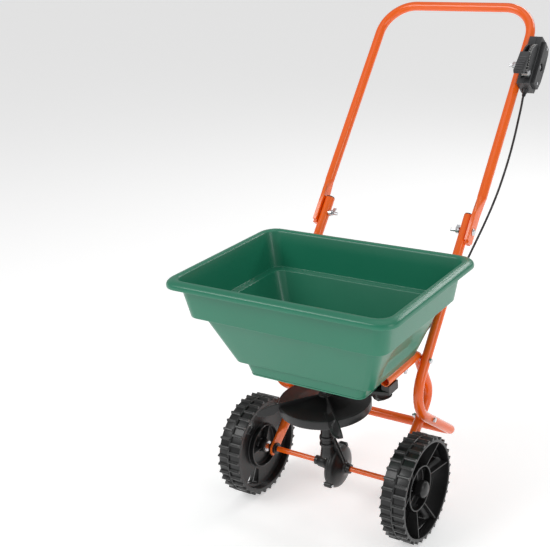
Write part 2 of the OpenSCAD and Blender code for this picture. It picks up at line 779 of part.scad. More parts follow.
module handle_tube() {
    start = pivot + (flat_len + 39) * up;
    color("orangered") difference() {
        union() {
            bent_tube(concat(in_yz(handle_x, [start, grip_bar]), in_yz(-handle_x, [grip_bar, start])),
                [0, grip_r, grip_r, 0], tube_r, tube_r - tube_wall);
            for (s = [-1, 1]) handle_end(s);
        }
        both_sides() rod_x(flat_x - 5, flat_x + flat_t + 5, pivot, bolt_r + run);
        rod_x(handle_x - 20, handle_x + 20, control_bolt_yz, frame_bolt_r);
    }
}

module pivot_bolts() {
    head = flat_x + flat_t + gap;
    color("silver") both_sides() {
        rod_x(upright_x - tube_r - 22, head, pivot, bolt_r);
        rod_x(head, head + 1.5, pivot, 8);
        translate([head + 1.5, pivot[0], pivot[1]]) rotate([0, 90, 0]) cylinder(2.5, r1 = 8, r2 = 5);
    }
}

module wing_nut(x, yz, bore) {
    // a hub with two flat ears, screwed on from the inner side
    difference() {
        union() {
            rod_x(x - 7, x, yz, bore + 3.5);
            for (s = [-1, 1]) translate([x - 9, yz[0], yz[1]]) rotate([s * 62, 0, 0])
                translate([-3, -1.3, bore + 1]) cube([8, 2.6, 11]);
        }
        rod_x(x - 20, x + 1, yz, bore + run / 2);
    }
}

module wing_nut_right() color("silver") wing_nut(upright_x - tube_r - gap, pivot, bolt_r);
module wing_nut_left() color("silver") mirror([1, 0, 0]) wing_nut(upright_x - tube_r - gap, pivot, bolt_r);
module control_wing_nut() color("silver") wing_nut(handle_x - tube_r - gap, control_bolt_yz, frame_bolt_r);

// ---------- control ----------

module at_control() around_pivot(control_bolt_yz) children();

module slab_x(x0, x1) translate([x0, 0, 0]) rotate([90, 0, 90]) linear_extrude(x1 - x0) children();

module control_outline() {
    // the side plate, in local Y and Z
    polygon([[-24, -57], [20, -57], [27, -30], [28, 10], [24, 50], [18, 64], [0, 68], [-24, 66]]);
}

module arc_sector(outer, inner, low, high) {
    steps = 12;
    span = [for (i = [0 : steps]) low + (high - low) * i / steps];
    polygon(concat(
        [for (a = span) [-outer * cos(a), outer * sin(a)]],
        [for (i = [steps : -1 : 0]) [-inner * cos(span[i]), inner * sin(span[i])]]));
}

module control_inner_half() {
    color("dimgray") at_control() difference() {
        union() {
            slab_x(control_in, slot_in - 0.2) control_outline();
            slab_x(slot_in - 4, slot_in - 0.2) arc_sector(arc_r, 8, -58, 52);
            slab_x(slot_in - 0.4, slot_out + 0.2) difference() {
                control_outline();
                circle(34, $fn = 64);
                translate([-60, -40]) square([60, 84]);
            }
        }
        rod_x(control_in - 1, slot_in + 1, [0, 0], frame_bolt_r);
        translate([slot_mid, boot_y, -64]) cylinder(20, r = 3);
    }
}

module control_outer_half() {
    color("dimgray") at_control() difference() {
        union() {
            slab_x(slot_out + 0.4, 240) control_outline();
            slab_x(slot_out + 0.4, 237) arc_sector(arc_r, 8, -58, 52);
            slab_x(239, control_out)
                polygon([[-15, -50], [14, -50], [21, -28], [22, 10], [18, 46], [12, 56], [-15, 58]]);
        }
        rod_x(slot_out - 1, control_out + 1, [0, 0], frame_bolt_r);
        rod_x(control_out - 7, control_out + 1, [0, 0], 9);
        slab_x(slot_out, 236) arc_sector(arc_in, 20, -50, 46);
    }
}

module control_bolt() {
    color("silver") at_control() {
        rod_x(handle_x - tube_r - 16, control_out - 7, [0, 0], frame_bolt_r);
        hex_x(control_out - 7, control_out - 3, [0, 0], 10);
    }
}

module control_screws() {
    color("silver") at_control() for (p = [[0, -42], [0, 48]])
        rod_x(control_out, control_out + 1.6, p, 3.2);
}

module cable_boot() {
    color("black") at_control() translate([slot_mid, boot_y, 0]) difference() {
        union() {
            translate([0, 0, -66]) cylinder(9 - touch, r1 = 5, r2 = 8);
            translate([0, 0, -72]) cylinder(7, r = 4.4);
        }
        translate([0, 0, -80]) cylinder(30, r = cable_r + 0.6);
    }
}

// a smooth curve through the route's own points
function between(p, i, t) =
    let (a = p[max(i - 1, 0)], b = p[i], c = p[i + 1], d = p[min(i + 2, len(p) - 1)])
    0.5 * ((2 * b) + (c - a) * t + (2 * a - 5 * b + 4 * c - d) * t * t + (3 * b - a - 3 * c + d) * t * t * t);
function smooth(p, cuts) = concat(
    [for (i = [0 : len(p) - 2], k = [0 : cuts - 1]) between(p, i, k / cuts)], [p[len(p) - 1]]);

module control_cable() {
    color("black") swept(smooth(cable_route, 3), cable_r, 8);
}

module control_lever() {
    color("dimgray") at_control() difference() {
        union() {
            slab_x(slot_in + gap, slot_out - gap) {
                circle(16, $fn = 48);
                translate([-arc_r - 1.5, -5]) square([arc_r, 10]);
            }
            slab_x(slot_mid - 12, slot_mid + 12)
                polygon([[-arc_r - 2, 7], [-arc_r - 11, -48], [-arc_r - 4, -52], [-arc_r + 3, -44],
                    [-arc_r - 1, 0]]);
        }
        rod_x(slot_in - 1, slot_out + 1, [0, 0], 5);
    }
}

module lever_bush() {
    color("silver") at_control() difference() {
        rod_x(slot_in + gap, slot_out - gap, [0, 0], 5);
        rod_x(slot_in - 1, slot_out + 1, [0, 0], frame_bolt_r + run);
    }
}

module stop_clip() {
    // a spring clip that hugs the scale's arc and stops the lever
    back = slot_out - 4;
    color("silver") at_control() rotate([90, 0, 90]) rotate([0, 0, 174 - clip_angle])
        rotate_extrude(angle = 12, $fn = 96) polygon([
            [arc_in - 1, back], [arc_r + 5, back], [arc_r + 5, back + 2], [arc_r + 2.5, back + 2],
            [arc_r + 2.5, 239], [arc_in - 1, 239], [arc_in - 1, 237 + gap], [arc_r + gap, 237 + gap],
            [arc_r + gap, back + 2], [arc_in - 1, back + 2]]);
}

on_floor() hopper();
on_floor() floor_bushing();
on_floor() main_frame();
on_floor() frame_end_plugs();
on_floor() axle_bracket(-1);  // axle_bracket_left
on_floor() axle_bracket(1);  // axle_bracket_right
on_floor() frame_bolts();
on_floor() frame_nuts();
on_floor() hopper_bolts();
on_floor() hopper_nuts();
on_floor() base_bracket();
on_floor() bracket_screws();
on_floor() cable_ferrule();
on_floor() gearbox_half(-100, split_x - touch);  // gearbox_half_left
on_floor() gearbox_half(split_x, 100);  // gearbox_half_right
on_floor() gearbox_screws();
on_floor() gearbox_axle_bushes();
on_floor() shaft_bush();
on_floor() axle_bushing(-1);  // axle_bushing_left
on_floor() axle_bushing(1);  // axle_bushing_right
on_floor() pivot_bolts();
on_floor() axle();
on_floor() wheel_right();
on_floor() drive_pin();
on_floor() hub_cap(1);  // hub_cap_right
on_floor() axle_washers();
on_floor() axle_collars();
on_floor() ring_gear();
on_floor() gear_pin();
on_floor() retaining_pin();
on_floor() wheel_left();
on_floor() hub_cap(-1);  // hub_cap_left
on_floor() spinner_disc();
on_floor() spinner_pin();
on_floor() spinner_shaft();
on_floor() pinion();
on_floor() agitator_clip();
on_floor() gate_plate();
on_floor() gate_wire();
on_floor() handle_tube();
on_floor() control_inner_half();
on_floor() control_outer_half();
on_floor() control_bolt();
on_floor() control_screws();
on_floor() cable_boot();
on_floor() control_cable();
on_floor() control_lever();
on_floor() lever_bush();
on_floor() stop_clip();
on_floor() wing_nut_left();
on_floor() wing_nut_right();
on_floor() control_wing_nut();
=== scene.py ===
# %% [markdown]
# # A walk-behind broadcast spreader
# A green hopper rides on a bent orange tube frame. Two lugged wheels drive an axle, whose gears spin
# a disc under the hopper. A control on the handle slides a gate under the hopper's outlets.
# The CAD model is loaded first: it gives every piece its place and says which body carries it.

# %% Load the frame and keep the CAD model's size
import json
import math

import bmesh
import bpy
from mathutils import Matrix, Vector


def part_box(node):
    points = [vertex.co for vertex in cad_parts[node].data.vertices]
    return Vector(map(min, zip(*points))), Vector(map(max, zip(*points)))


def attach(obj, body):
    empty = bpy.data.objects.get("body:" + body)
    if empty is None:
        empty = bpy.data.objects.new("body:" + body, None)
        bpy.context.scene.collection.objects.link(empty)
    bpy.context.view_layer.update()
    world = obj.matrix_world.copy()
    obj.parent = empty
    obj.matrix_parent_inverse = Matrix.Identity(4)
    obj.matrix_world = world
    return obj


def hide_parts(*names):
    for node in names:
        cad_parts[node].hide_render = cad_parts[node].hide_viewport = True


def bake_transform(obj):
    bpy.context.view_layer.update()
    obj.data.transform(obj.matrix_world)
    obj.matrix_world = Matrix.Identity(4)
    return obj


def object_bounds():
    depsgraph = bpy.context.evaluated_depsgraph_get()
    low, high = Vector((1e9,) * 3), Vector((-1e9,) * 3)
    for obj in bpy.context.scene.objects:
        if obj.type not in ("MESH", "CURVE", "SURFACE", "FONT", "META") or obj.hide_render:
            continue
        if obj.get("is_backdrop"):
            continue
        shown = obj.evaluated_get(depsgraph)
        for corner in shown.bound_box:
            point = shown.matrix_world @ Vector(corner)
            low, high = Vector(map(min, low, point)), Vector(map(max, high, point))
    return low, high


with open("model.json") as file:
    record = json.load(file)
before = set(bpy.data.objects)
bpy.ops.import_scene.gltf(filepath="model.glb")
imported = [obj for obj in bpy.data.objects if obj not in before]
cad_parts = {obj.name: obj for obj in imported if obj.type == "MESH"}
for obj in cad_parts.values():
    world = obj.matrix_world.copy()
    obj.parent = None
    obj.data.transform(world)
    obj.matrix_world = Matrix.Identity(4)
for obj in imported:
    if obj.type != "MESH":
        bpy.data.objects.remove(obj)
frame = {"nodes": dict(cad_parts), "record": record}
cad_box = [list(corner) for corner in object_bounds()]
MM = 0.001
bodies = frame["record"]["behaviour"]["bodies"]
body_of = {node: body for body, nodes in bodies.items() for node in nodes}
axle_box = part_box("axle")
AXLE = (axle_box[0] + axle_box[1]) / 2
AXLE.x = 0.0
print("axle line at", [round(v, 4) for v in AXLE], "and", len(body_of), "CAD nodes")


def from_axle(x, y, z):
    """A place given in millimetres from the axle's middle, with z above the floor, in metres."""
    return Vector((x * MM, AXLE.y + y * MM, z * MM))


# %% [markdown]
# ## Camera
# The camera comes first, because every later choice of detail depends on what it shows. It looks
# down at the machine from the front left. A real camera is described by where it stands, how it is
# turned and how long its lens is, so those are the values here. The machine stands left of the
# optical axis, which a small sideways shift of the lens gives without turning the camera.

# %% Camera
CAMERA_AZIMUTH = math.radians(31.094)
CAMERA_ELEVATION = math.radians(20.825)
CAMERA_ROLL = math.radians(-2.547)
CAMERA_FROM_AXLE = Vector((1.040, -1.592, 1.285))
LENS_MM = 64.81
SENSOR_MM = 36.0
LENS_SHIFT = (-0.147, 0.0013)


def camera_turn():
    """The camera's own right, up and backward directions, as a turn."""
    right = Vector((math.cos(CAMERA_AZIMUTH), math.sin(CAMERA_AZIMUTH), 0))
    flat = math.cos(CAMERA_ELEVATION)
    back = Vector((math.sin(CAMERA_AZIMUTH) * flat, -math.cos(CAMERA_AZIMUTH) * flat,
                   math.sin(CAMERA_ELEVATION)))
    up = back.cross(right)
    c, s = math.cos(CAMERA_ROLL), math.sin(CAMERA_ROLL)
    return Matrix((c * right + s * up, c * up - s * right, back)).transposed()


lens = bpy.data.cameras.new("studio_camera")
lens.lens = LENS_MM
lens.sensor_width = SENSOR_MM
lens.shift_x, lens.shift_y = LENS_SHIFT
camera = bpy.data.objects.new("studio_camera", lens)
bpy.context.scene.collection.objects.link(camera)
place = Vector((CAMERA_FROM_AXLE.x, AXLE.y + CAMERA_FROM_AXLE.y, CAMERA_FROM_AXLE.z))
camera.matrix_world = Matrix.Translation(place) @ camera_turn().to_4x4()
bpy.context.scene.camera = camera
print("camera at", [round(v, 3) for v in place])

# %% [markdown]
# ## Floor and light
# A pale floor and large soft lamps show form without hard shadows. The world fills the shadows, a
# big lamp over the front left shapes the hopper, and a narrow one behind draws the bright lines
# along tubes and moulded edges.

# %% Floor and light
WHITE = (1, 1, 1, 1)
FLOOR_RADIUS = 60.0
FLOOR_GREY = (0.88, 0.88, 0.88, 1)
FLOOR_ROUGHNESS = 0.75
FLOOR_GLOW = 0.42
WORLD_STRENGTH = 0.38
# Each lamp stands somewhere, faces a point, has a width and a height, and a power in watts.
LAMPS = {
    "key_lamp": ((-1.6, -2.4, 2.6), (0, -0.1, 0.4), (1.8, 1.4), 40),
    "side_lamp": ((2.6, -0.9, 1.5), (0, 0, 0.5), (1.0, 1.8), 12),
    "back_lamp": ((0.6, 2.4, 2.2), (0, 0, 0.6), (2.4, 0.5), 24),
    "top_lamp": ((0.0, 0.0, 3.2), (0, 0, 0), (2.2, 2.2), 9),
}


def soft_lamp(name, where, look_at, size, watts):
    """An area lamp that faces a point."""
    lamp = bpy.data.lights.new(name, "AREA")
    lamp.shape = "RECTANGLE"
    lamp.size, lamp.size_y = size
    lamp.energy = watts
    lamp_object = bpy.data.objects.new(name, lamp)
    bpy.context.scene.collection.objects.link(lamp_object)
    lamp_object.location = where
    facing = Vector(look_at) - Vector(where)
    lamp_object.rotation_euler = facing.to_track_quat("-Z", "Y").to_euler()


def pale_floor():
    """A flat disc far wider than the machine."""
    mesh = bmesh.new()
    bmesh.ops.create_circle(mesh, cap_ends=True, segments=64, radius=FLOOR_RADIUS)
    data = bpy.data.meshes.new("studio_floor")
    mesh.to_mesh(data)
    floor = bpy.data.objects.new("studio_floor", data)
    bpy.context.scene.collection.objects.link(floor)
    paint = bpy.data.materials.new("studio_floor")
    paint.use_nodes = True
    shader = paint.node_tree.nodes["Principled BSDF"]
    shader.inputs["Base Color"].default_value = FLOOR_GREY
    shader.inputs["Roughness"].default_value = FLOOR_ROUGHNESS
    shader.inputs["Emission Color"].default_value = WHITE
    shader.inputs["Emission Strength"].default_value = FLOOR_GLOW
    data.materials.append(paint)
    floor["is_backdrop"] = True


pale_floor()
for lamp_name, (where, look_at, size, watts) in LAMPS.items():
    soft_lamp(lamp_name, where, look_at, size, watts)
world = bpy.data.worlds.new("studio_world")
world.use_nodes = True
background = world.node_tree.nodes["Background"]
background.inputs["Color"].default_value = WHITE
background.inputs["Strength"].default_value = WORLD_STRENGTH
bpy.context.scene.world = world
bpy.context.scene.view_settings.view_transform = "Standard"
print(len(LAMPS), "soft lamps and a pale floor")

# %% [markdown]
# ## Surface effects used by more than one finish
# Moulded plastic, powder coat and plated steel all have a fine grain and a slow drift in tone. Each
# effect is a shader node group made once, with its sizes as inputs, so that every finish sets its
# own scale. The groups put out only masks and heights: the shader itself stays in each material.

# %% Shader node groups
RAISED_ABOVE = 0.52  # the pointiness from which an edge counts as raised; a flat face has 0.5


def node_group(name, inputs, outputs):
    """An empty shader node group with float sockets."""
    tree = bpy.data.node_groups.new(name, "ShaderNodeTree")
    kind = "NodeSocketFloat"
    for label, value in inputs:
        socket = tree.interface.new_socket(label, in_out="INPUT", socket_type=kind)
        socket.default_value = value
    for label in outputs:
        tree.interface.new_socket(label, in_out="OUTPUT", socket_type=kind)
    tree.nodes.new("NodeGroupInput")
    tree.nodes.new("NodeGroupOutput")
    return tree


def ends(tree):
    """A group's input and output nodes."""
    return tree.nodes["Group Input"], tree.nodes["Group Output"]


def noise(tree, scale_from, detail, coordinates):
    """A noise texture in object space whose scale comes from a socket."""
    texture = tree.nodes.new("ShaderNodeTexNoise")
    texture.inputs["Detail"].default_value = detail
    tree.links.new(coordinates, texture.inputs["Vector"])
    tree.links.new(scale_from, texture.inputs["Scale"])
    return texture.outputs["Fac"]


def arithmetic(tree, operation, first, second):
    """One Math node; a number or a socket for each side."""
    node = tree.nodes.new("ShaderNodeMath")
    node.operation = operation
    for socket, value in zip(node.inputs, (first, second)):
        if isinstance(value, (int, float)):
            socket.default_value = value
        else:
            tree.links.new(value, socket)
    return node.outputs[0]


def make_grain_group():
    """Fine grain for a bump, and a slow drift for colour and roughness."""
    tree = node_group("fine_grain", [("Grain size", 900.0), ("Drift size", 9.0)], ["Height", "Drift"])
    source, sink = ends(tree)
    where = tree.nodes.new("ShaderNodeTexCoord").outputs["Object"]
    fine = noise(tree, source.outputs["Grain size"], 3.0, where)
    slow = noise(tree, source.outputs["Drift size"], 2.0, where)
    tree.links.new(fine, sink.inputs["Height"])
    tree.links.new(slow, sink.inputs["Drift"])
    return tree


def make_edge_highlight_group():
    """A mask of raised edges, broken up by noise, where the colour is lightened as a painted highlight."""
    tree = node_group("painted_edge_highlight", [("Sharpness", 14.0), ("Breakup", 60.0)], ["Mask"])
    source, sink = ends(tree)
    point = tree.nodes.new("ShaderNodeNewGeometry").outputs["Pointiness"]
    where = tree.nodes.new("ShaderNodeTexCoord").outputs["Object"]
    raised = arithmetic(tree, "SUBTRACT", point, RAISED_ABOVE)
    raised = arithmetic(tree, "MULTIPLY", raised, source.outputs["Sharpness"])
    raised = arithmetic(tree, "MULTIPLY", raised, noise(tree, source.outputs["Breakup"], 3.0, where))
    raised = arithmetic(tree, "MAXIMUM", raised, 0.0)
    tree.links.new(arithmetic(tree, "MINIMUM", raised, 1.0), sink.inputs["Mask"])
    return tree


def make_dust_group():
    """A mask of faces that look up, where dust and fertiliser powder settle."""
    tree = node_group("settled_dust", [("Patch size", 40.0)], ["Mask"])
    source, sink = ends(tree)
    split = tree.nodes.new("ShaderNodeSeparateXYZ")
    tree.links.new(tree.nodes.new("ShaderNodeNewGeometry").outputs["Normal"], split.inputs[0])
    where = tree.nodes.new("ShaderNodeTexCoord").outputs["Object"]
    facing_up = arithmetic(tree, "MAXIMUM", split.outputs["Z"], 0.0)
    patches = noise(tree, source.outputs["Patch size"], 4.0, where)
    tree.links.new(arithmetic(tree, "MULTIPLY", facing_up, patches), sink.inputs["Mask"])
    return tree


GRAIN = make_grain_group()
# This mask lays a painted highlight along raised edges.
HIGHLIGHT_GROUP = make_edge_highlight_group()
DUST = make_dust_group()
print("shader groups:", GRAIN.name, HIGHLIGHT_GROUP.name, DUST.name)

# %% [markdown]
# ## Finishes
# One function builds a finish from a maker's values: the colour in its light and deep tones, gloss,
# grain size and depth, how strongly a painted highlight lightens raised edges, and how much dust shows.
# The hopper is satin moulded plastic, the tubes carry a glossy powder coat with a slight orange peel,
# the wheels and gearbox are black moulded plastic, and the fasteners are zinc plated.

# %% Finishes
DUST_COLOUR = (0.42, 0.40, 0.36)
GLOSS_SPREAD = 0.14
BUMP_HEIGHT = 0.0004
COAT_ROUGHNESS = 0.12


def use_group(tree, group, **values):
    """A node group placed in a material, with its input values."""
    node = tree.nodes.new("ShaderNodeGroup")
    node.node_tree = group
    for label, value in values.items():
        node.inputs[label.replace("_", " ")].default_value = value
    return node


def mix_colours(tree, factor, first, second):
    """Mixes two colours; each is a tuple or a socket."""
    mix = tree.nodes.new("ShaderNodeMix")
    mix.data_type = "RGBA"
    tree.links.new(factor, mix.inputs[0])
    for socket, value in ((mix.inputs[6], first), (mix.inputs[7], second)):
        if isinstance(value, tuple):
            socket.default_value = (*value, 1)
        else:
            tree.links.new(value, socket)
    return mix.outputs[2]


def finish(name, light, deep, rough, grain, depth, drift=9.0, edge=None, edge_highlight=0.0, dust=0.0,
           metal=0.0, coat=0.0):
    """A moulded, painted or plated surface. Grain and drift are sizes per metre."""
    made = bpy.data.materials.new(name)
    made.use_nodes = True
    tree = made.node_tree
    shader = tree.nodes["Principled BSDF"]
    surface = use_group(tree, GRAIN, Grain_size=grain, Drift_size=drift)
    colour = mix_colours(tree, surface.outputs["Drift"], deep, light)
    # Raised edges are mixed toward the edge colour as a painted highlight.
    if edge:
        highlight_node = use_group(tree, HIGHLIGHT_GROUP)
        amount = arithmetic(tree, "MULTIPLY", highlight_node.outputs["Mask"], edge_highlight)
        colour = mix_colours(tree, amount, colour, edge)
    powder = use_group(tree, DUST)
    amount = arithmetic(tree, "MULTIPLY", powder.outputs["Mask"], dust)
    colour = mix_colours(tree, amount, colour, DUST_COLOUR)
    tree.links.new(colour, shader.inputs["Base Color"])
    spread = arithmetic(tree, "MULTIPLY", surface.outputs["Drift"], GLOSS_SPREAD)
    spread = arithmetic(tree, "ADD", spread, rough - GLOSS_SPREAD / 2)
    tree.links.new(arithmetic(tree, "ADD", spread, amount), shader.inputs["Roughness"])
    bump = tree.nodes.new("ShaderNodeBump")
    bump.inputs["Strength"].default_value = depth
    bump.inputs["Distance"].default_value = BUMP_HEIGHT
    tree.links.new(surface.outputs["Height"], bump.inputs["Height"])
    tree.links.new(bump.outputs["Normal"], shader.inputs["Normal"])
    shader.inputs["Metallic"].default_value = metal
    shader.inputs["Coat Weight"].default_value = coat
    shader.inputs["Coat Roughness"].default_value = COAT_ROUGHNESS
    return made


BLACK_LIGHT = (0.008, 0.008, 0.0085)
BLACK_DEEP = (0.005, 0.005, 0.0055)
# Each finish: light tone, deep tone, roughness, grain per metre and depth of the grain, then extras.
# Each edge colour is lighter than its finish's base: it is a painted highlight on raised edges.
FINISH_VALUES = {
    "hopper_green": ((0.012, 0.215, 0.122), (0.008, 0.178, 0.098), 0.33, 1500, 0.12,
                     dict(drift=5, edge=(0.10, 0.42, 0.28), edge_highlight=0.5, dust=0.03, coat=0.25)),
    "frame_orange": ((1.0, 0.142, 0.001), (0.95, 0.118, 0.001), 0.2, 420, 0.1,
                     dict(drift=14, edge=(1.0, 0.24, 0.04), edge_highlight=0.3, coat=0.35)),
    "wheel_black": (BLACK_LIGHT, BLACK_DEEP, 0.33, 1100, 0.22,
                    dict(drift=22, edge=(0.07, 0.07, 0.07), edge_highlight=0.9, dust=0.012, coat=0.1)),
    "black_plastic": (BLACK_LIGHT, BLACK_DEEP, 0.34, 1400, 0.2,
                      dict(drift=20, edge=(0.06, 0.06, 0.06), edge_highlight=0.8, dust=0.012, coat=0.08)),
    "control_grey": ((0.026, 0.027, 0.029), (0.018, 0.019, 0.020), 0.44, 1700, 0.3,
                     dict(drift=24, edge=(0.11, 0.11, 0.115), edge_highlight=0.8, dust=0.01)),
    "cable_black": ((0.016, 0.016, 0.017), (0.010, 0.010, 0.011), 0.42, 1300, 0.3,
                    dict(drift=30, dust=0.01)),
    "zinc": ((0.74, 0.75, 0.77), (0.60, 0.61, 0.63), 0.28, 1900, 0.15, dict(drift=120, metal=1.0)),
    "steel": ((0.62, 0.62, 0.62), (0.48, 0.48, 0.48), 0.30, 1600, 0.2, dict(drift=90, metal=1.0)),
    "gear_nylon": ((0.55, 0.53, 0.47), (0.46, 0.44, 0.38), 0.42, 900, 0.2, dict(drift=40)),
    "bronze": ((0.55, 0.33, 0.13), (0.44, 0.25, 0.09), 0.34, 1300, 0.25, dict(drift=70, metal=1.0)),
}
FINISHES = {name: finish(name, *values, **extras) for name, (*values, extras) in FINISH_VALUES.items()}
slot_of = {}
for node_name, node in frame["nodes"].items():
    for holder in node.material_slots:
        slot_of[node_name] = holder.material.name.split(".")[0]
        holder.material = FINISHES[slot_of[node_name]]
print("finishes:", ", ".join(FINISHES))

# %% [markdown]
# ## Helpers for shaping
# Turned pieces are a profile swept round an axis, and lofted ones are rings of points joined in
# order. Both are short with bmesh. A thin bevel on every sharp edge catches the light, as the
# rounded edges of real moulded and pressed parts do.

# %% Helpers for shaping
MERGE_WITHIN = 1e-6


def new_piece(name, mesh, slot, smooth_over=35.0):
    """An object from a bmesh, with its finish, its normals outward and its soft edges smooth."""
    bmesh.ops.remove_doubles(mesh, verts=mesh.verts, dist=MERGE_WITHIN)
    bmesh.ops.recalc_face_normals(mesh, faces=mesh.faces)
    data = bpy.data.meshes.new(name)
    mesh.to_mesh(data)
    mesh.free()
    data.shade_smooth()
    data.set_sharp_from_angle(angle=math.radians(smooth_over))
    data.materials.append(FINISHES[slot])
    piece = bpy.data.objects.new(name, data)
    bpy.context.scene.collection.objects.link(piece)
    return piece


def soften(piece, width, segments=2, over=35.0):
    """A bevel of that width in millimetres on edges sharper than the angle."""
    bevel = piece.modifiers.new("soft_edges", "BEVEL")
    bevel.width = width * MM
    bevel.segments = segments
    bevel.limit_method = "ANGLE"
    bevel.angle_limit = math.radians(over)
    bevel.harden_normals = True
    return piece


def fit_to(piece, body, slot, *nodes):
    """The piece moves with a body and stands for CAD nodes; slot is not used."""
    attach(piece, body)
    if nodes:
        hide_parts(*nodes)
    return piece


def join_rings(mesh, rings, closed=False):
    """Skins equally long rings of points, and caps the two ends unless the rings form a loop."""
    rows = [[mesh.verts.new(point) for point in ring] for ring in rings]
    pairs = list(zip(rows, rows[1:])) + ([(rows[-1], rows[0])] if closed else [])
    for low, high in pairs:
        for i in range(len(low)):
            j = (i + 1) % len(low)
            mesh.faces.new((low[i], low[j], high[j], high[i]))
    if not closed:
        mesh.faces.new(rows[0][::-1])
        mesh.faces.new(rows[-1])
    return rows


def turned(profile, axis, centre, steps=96):
    """A closed profile of (radius, distance along the axis) pairs in mm, turned round X or Z."""
    mesh = bmesh.new()
    rings = []
    for radius, along in profile:
        ring = []
        for k in range(steps):
            a = 2 * math.pi * k / steps
            u, v = radius * MM * math.cos(a), radius * MM * math.sin(a)
            offset = (along * MM, u, v) if axis == "x" else (u, v, along * MM)
            ring.append(centre + Vector(offset))
        rings.append(ring)
    join_rings(mesh, rings, closed=True)
    return mesh


def slab(mesh, outline, x0, x1):
    """Adds a flat plate between x0 and x1 whose outline is in Y and Z, in mm, about the origin."""
    join_rings(mesh, [[Vector((x, y, z)) * MM for y, z in outline] for x in (x0, x1)])


# %% [markdown]
# ## One tree that repeats a shape
# Tread lugs, spokes, vanes, a scale's marks and grip ribs are each one shape made many times, turned
# or moved by the same amount. One Geometry Nodes tree does them all: it makes a point per copy,
# turns each copy round an axis, steps it along a line, makes the copies real and sets the finish.

# %% The repeating tree
def make_copies_tree():
    """Copies its own geometry, each turned and moved on from the one before."""
    tree = bpy.data.node_groups.new("copies_in_step", "GeometryNodeTree")
    wanted = {"Geometry": "Geometry", "Count": "Int", "Turn": "Float", "Axis": "Vector", "Step": "Vector",
              "Finish": "Material"}
    for label, kind in wanted.items():
        tree.interface.new_socket(label, in_out="INPUT", socket_type="NodeSocket" + kind)
    tree.interface.new_socket("Geometry", in_out="OUTPUT", socket_type="NodeSocketGeometry")
    source = tree.nodes.new("NodeGroupInput")
    sink = tree.nodes.new("NodeGroupOutput")
    points = tree.nodes.new("GeometryNodePoints")
    index = tree.nodes.new("GeometryNodeInputIndex")
    step = tree.nodes.new("ShaderNodeVectorMath")
    step.operation = "SCALE"
    turn = tree.nodes.new("ShaderNodeMath")
    turn.operation = "MULTIPLY"
    rotation = tree.nodes.new("FunctionNodeAxisAngleToRotation")
    move = tree.nodes.new("GeometryNodeSetPosition")
    copies = tree.nodes.new("GeometryNodeInstanceOnPoints")
    real = tree.nodes.new("GeometryNodeRealizeInstances")
    coat = tree.nodes.new("GeometryNodeSetMaterial")
    given = source.outputs
    for start, end in (
            (given["Count"], points.inputs["Count"]),
            (given["Step"], step.inputs[0]),
            (index.outputs[0], step.inputs["Scale"]),
            (given["Turn"], turn.inputs[0]),
            (index.outputs[0], turn.inputs[1]),
            (given["Axis"], rotation.inputs["Axis"]),
            (turn.outputs[0], rotation.inputs["Angle"]),
            (points.outputs[0], move.inputs["Geometry"]),
            (step.outputs[0], move.inputs["Position"]),
            (move.outputs[0], copies.inputs["Points"]),
            (given["Geometry"], copies.inputs["Instance"]),
            (rotation.outputs[0], copies.inputs["Rotation"]),
            (copies.outputs[0], real.inputs[0]),
            (real.outputs[0], coat.inputs["Geometry"]),
            (given["Finish"], coat.inputs["Material"]),
            (coat.outputs[0], sink.inputs[0])):
        tree.links.new(start, end)
    return tree


COPIES = make_copies_tree()


def repeat(piece, slot, count, turn=0.0, axis=(1, 0, 0), step=(0, 0, 0), centre=Vector()):
    """Repeats a piece modelled about the origin, then moves the result to its centre as a plain mesh."""
    copies = piece.modifiers.new("copies", "NODES")
    copies.node_group = COPIES
    values = {"Count": count, "Turn": float(turn), "Axis": [float(v) for v in axis],
              "Step": [float(v) for v in step], "Finish": FINISHES[slot]}
    for item in COPIES.interface.items_tree:
        if item.in_out == "INPUT" and item.name in values:
            copies[item.identifier] = values[item.name]
    depsgraph = bpy.context.evaluated_depsgraph_get()
    plain = bpy.data.meshes.new_from_object(piece.evaluated_get(depsgraph))
    piece.modifiers.clear()
    piece.data = plain
    plain.transform(Matrix.Translation(centre))
    print(piece.name, "repeated", count, "times:", len(plain.polygons), "faces")
    return piece


# %% [markdown]
# ## Cable
# The control's cable is a thin sheathed wire held along its whole route: it leaves the boot under
# the control, runs down beside the frame and ends in the ferrule by the gate. The route repeats the
# CAD model's points. A tube swept along a smooth curve gives it, with its own UV map round and along
# the cable.

# %% Cable
CABLE_RADIUS = 2.6
CABLE_SIDES = 12
CUTS_BETWEEN_POINTS = 10
LEAN = math.radians(41)
CABLE_ROUTE = [(222.5, 546.09, 857.59), (222.5, 539.53, 850.05), (222.5, 532.97, 842.5),
               (221.3, 526, 822), (218, 519, 795),
               (213, 508, 755), (206, 490, 705), (197, 464, 650), (188, 444, 610), (178, 424, 573),
               (169, 402, 540), (160, 377, 506), (150, 344, 466), (140, 304, 426), (130, 260, 391),
               (120, 216, 366), (112, 176, 351), (107, 148, 345.6), (105, 124, 344.4), (105, 111, 344.4)]


def smooth_route(route, cuts):
    """A smooth curve through the route's points."""
    points = [Vector(p) for p in route]
    path = []
    for i in range(len(points) - 1):
        a, b, c = points[max(i - 1, 0)], points[i], points[i + 1]
        d = points[min(i + 2, len(points) - 1)]
        for k in range(cuts):
            t = k / cuts
            path.append(0.5 * (2 * b + (c - a) * t + (2 * a - 5 * b + 4 * c - d) * t * t
                               + (3 * b - a - 3 * c + d) * t ** 3))
    return path + [points[-1]]


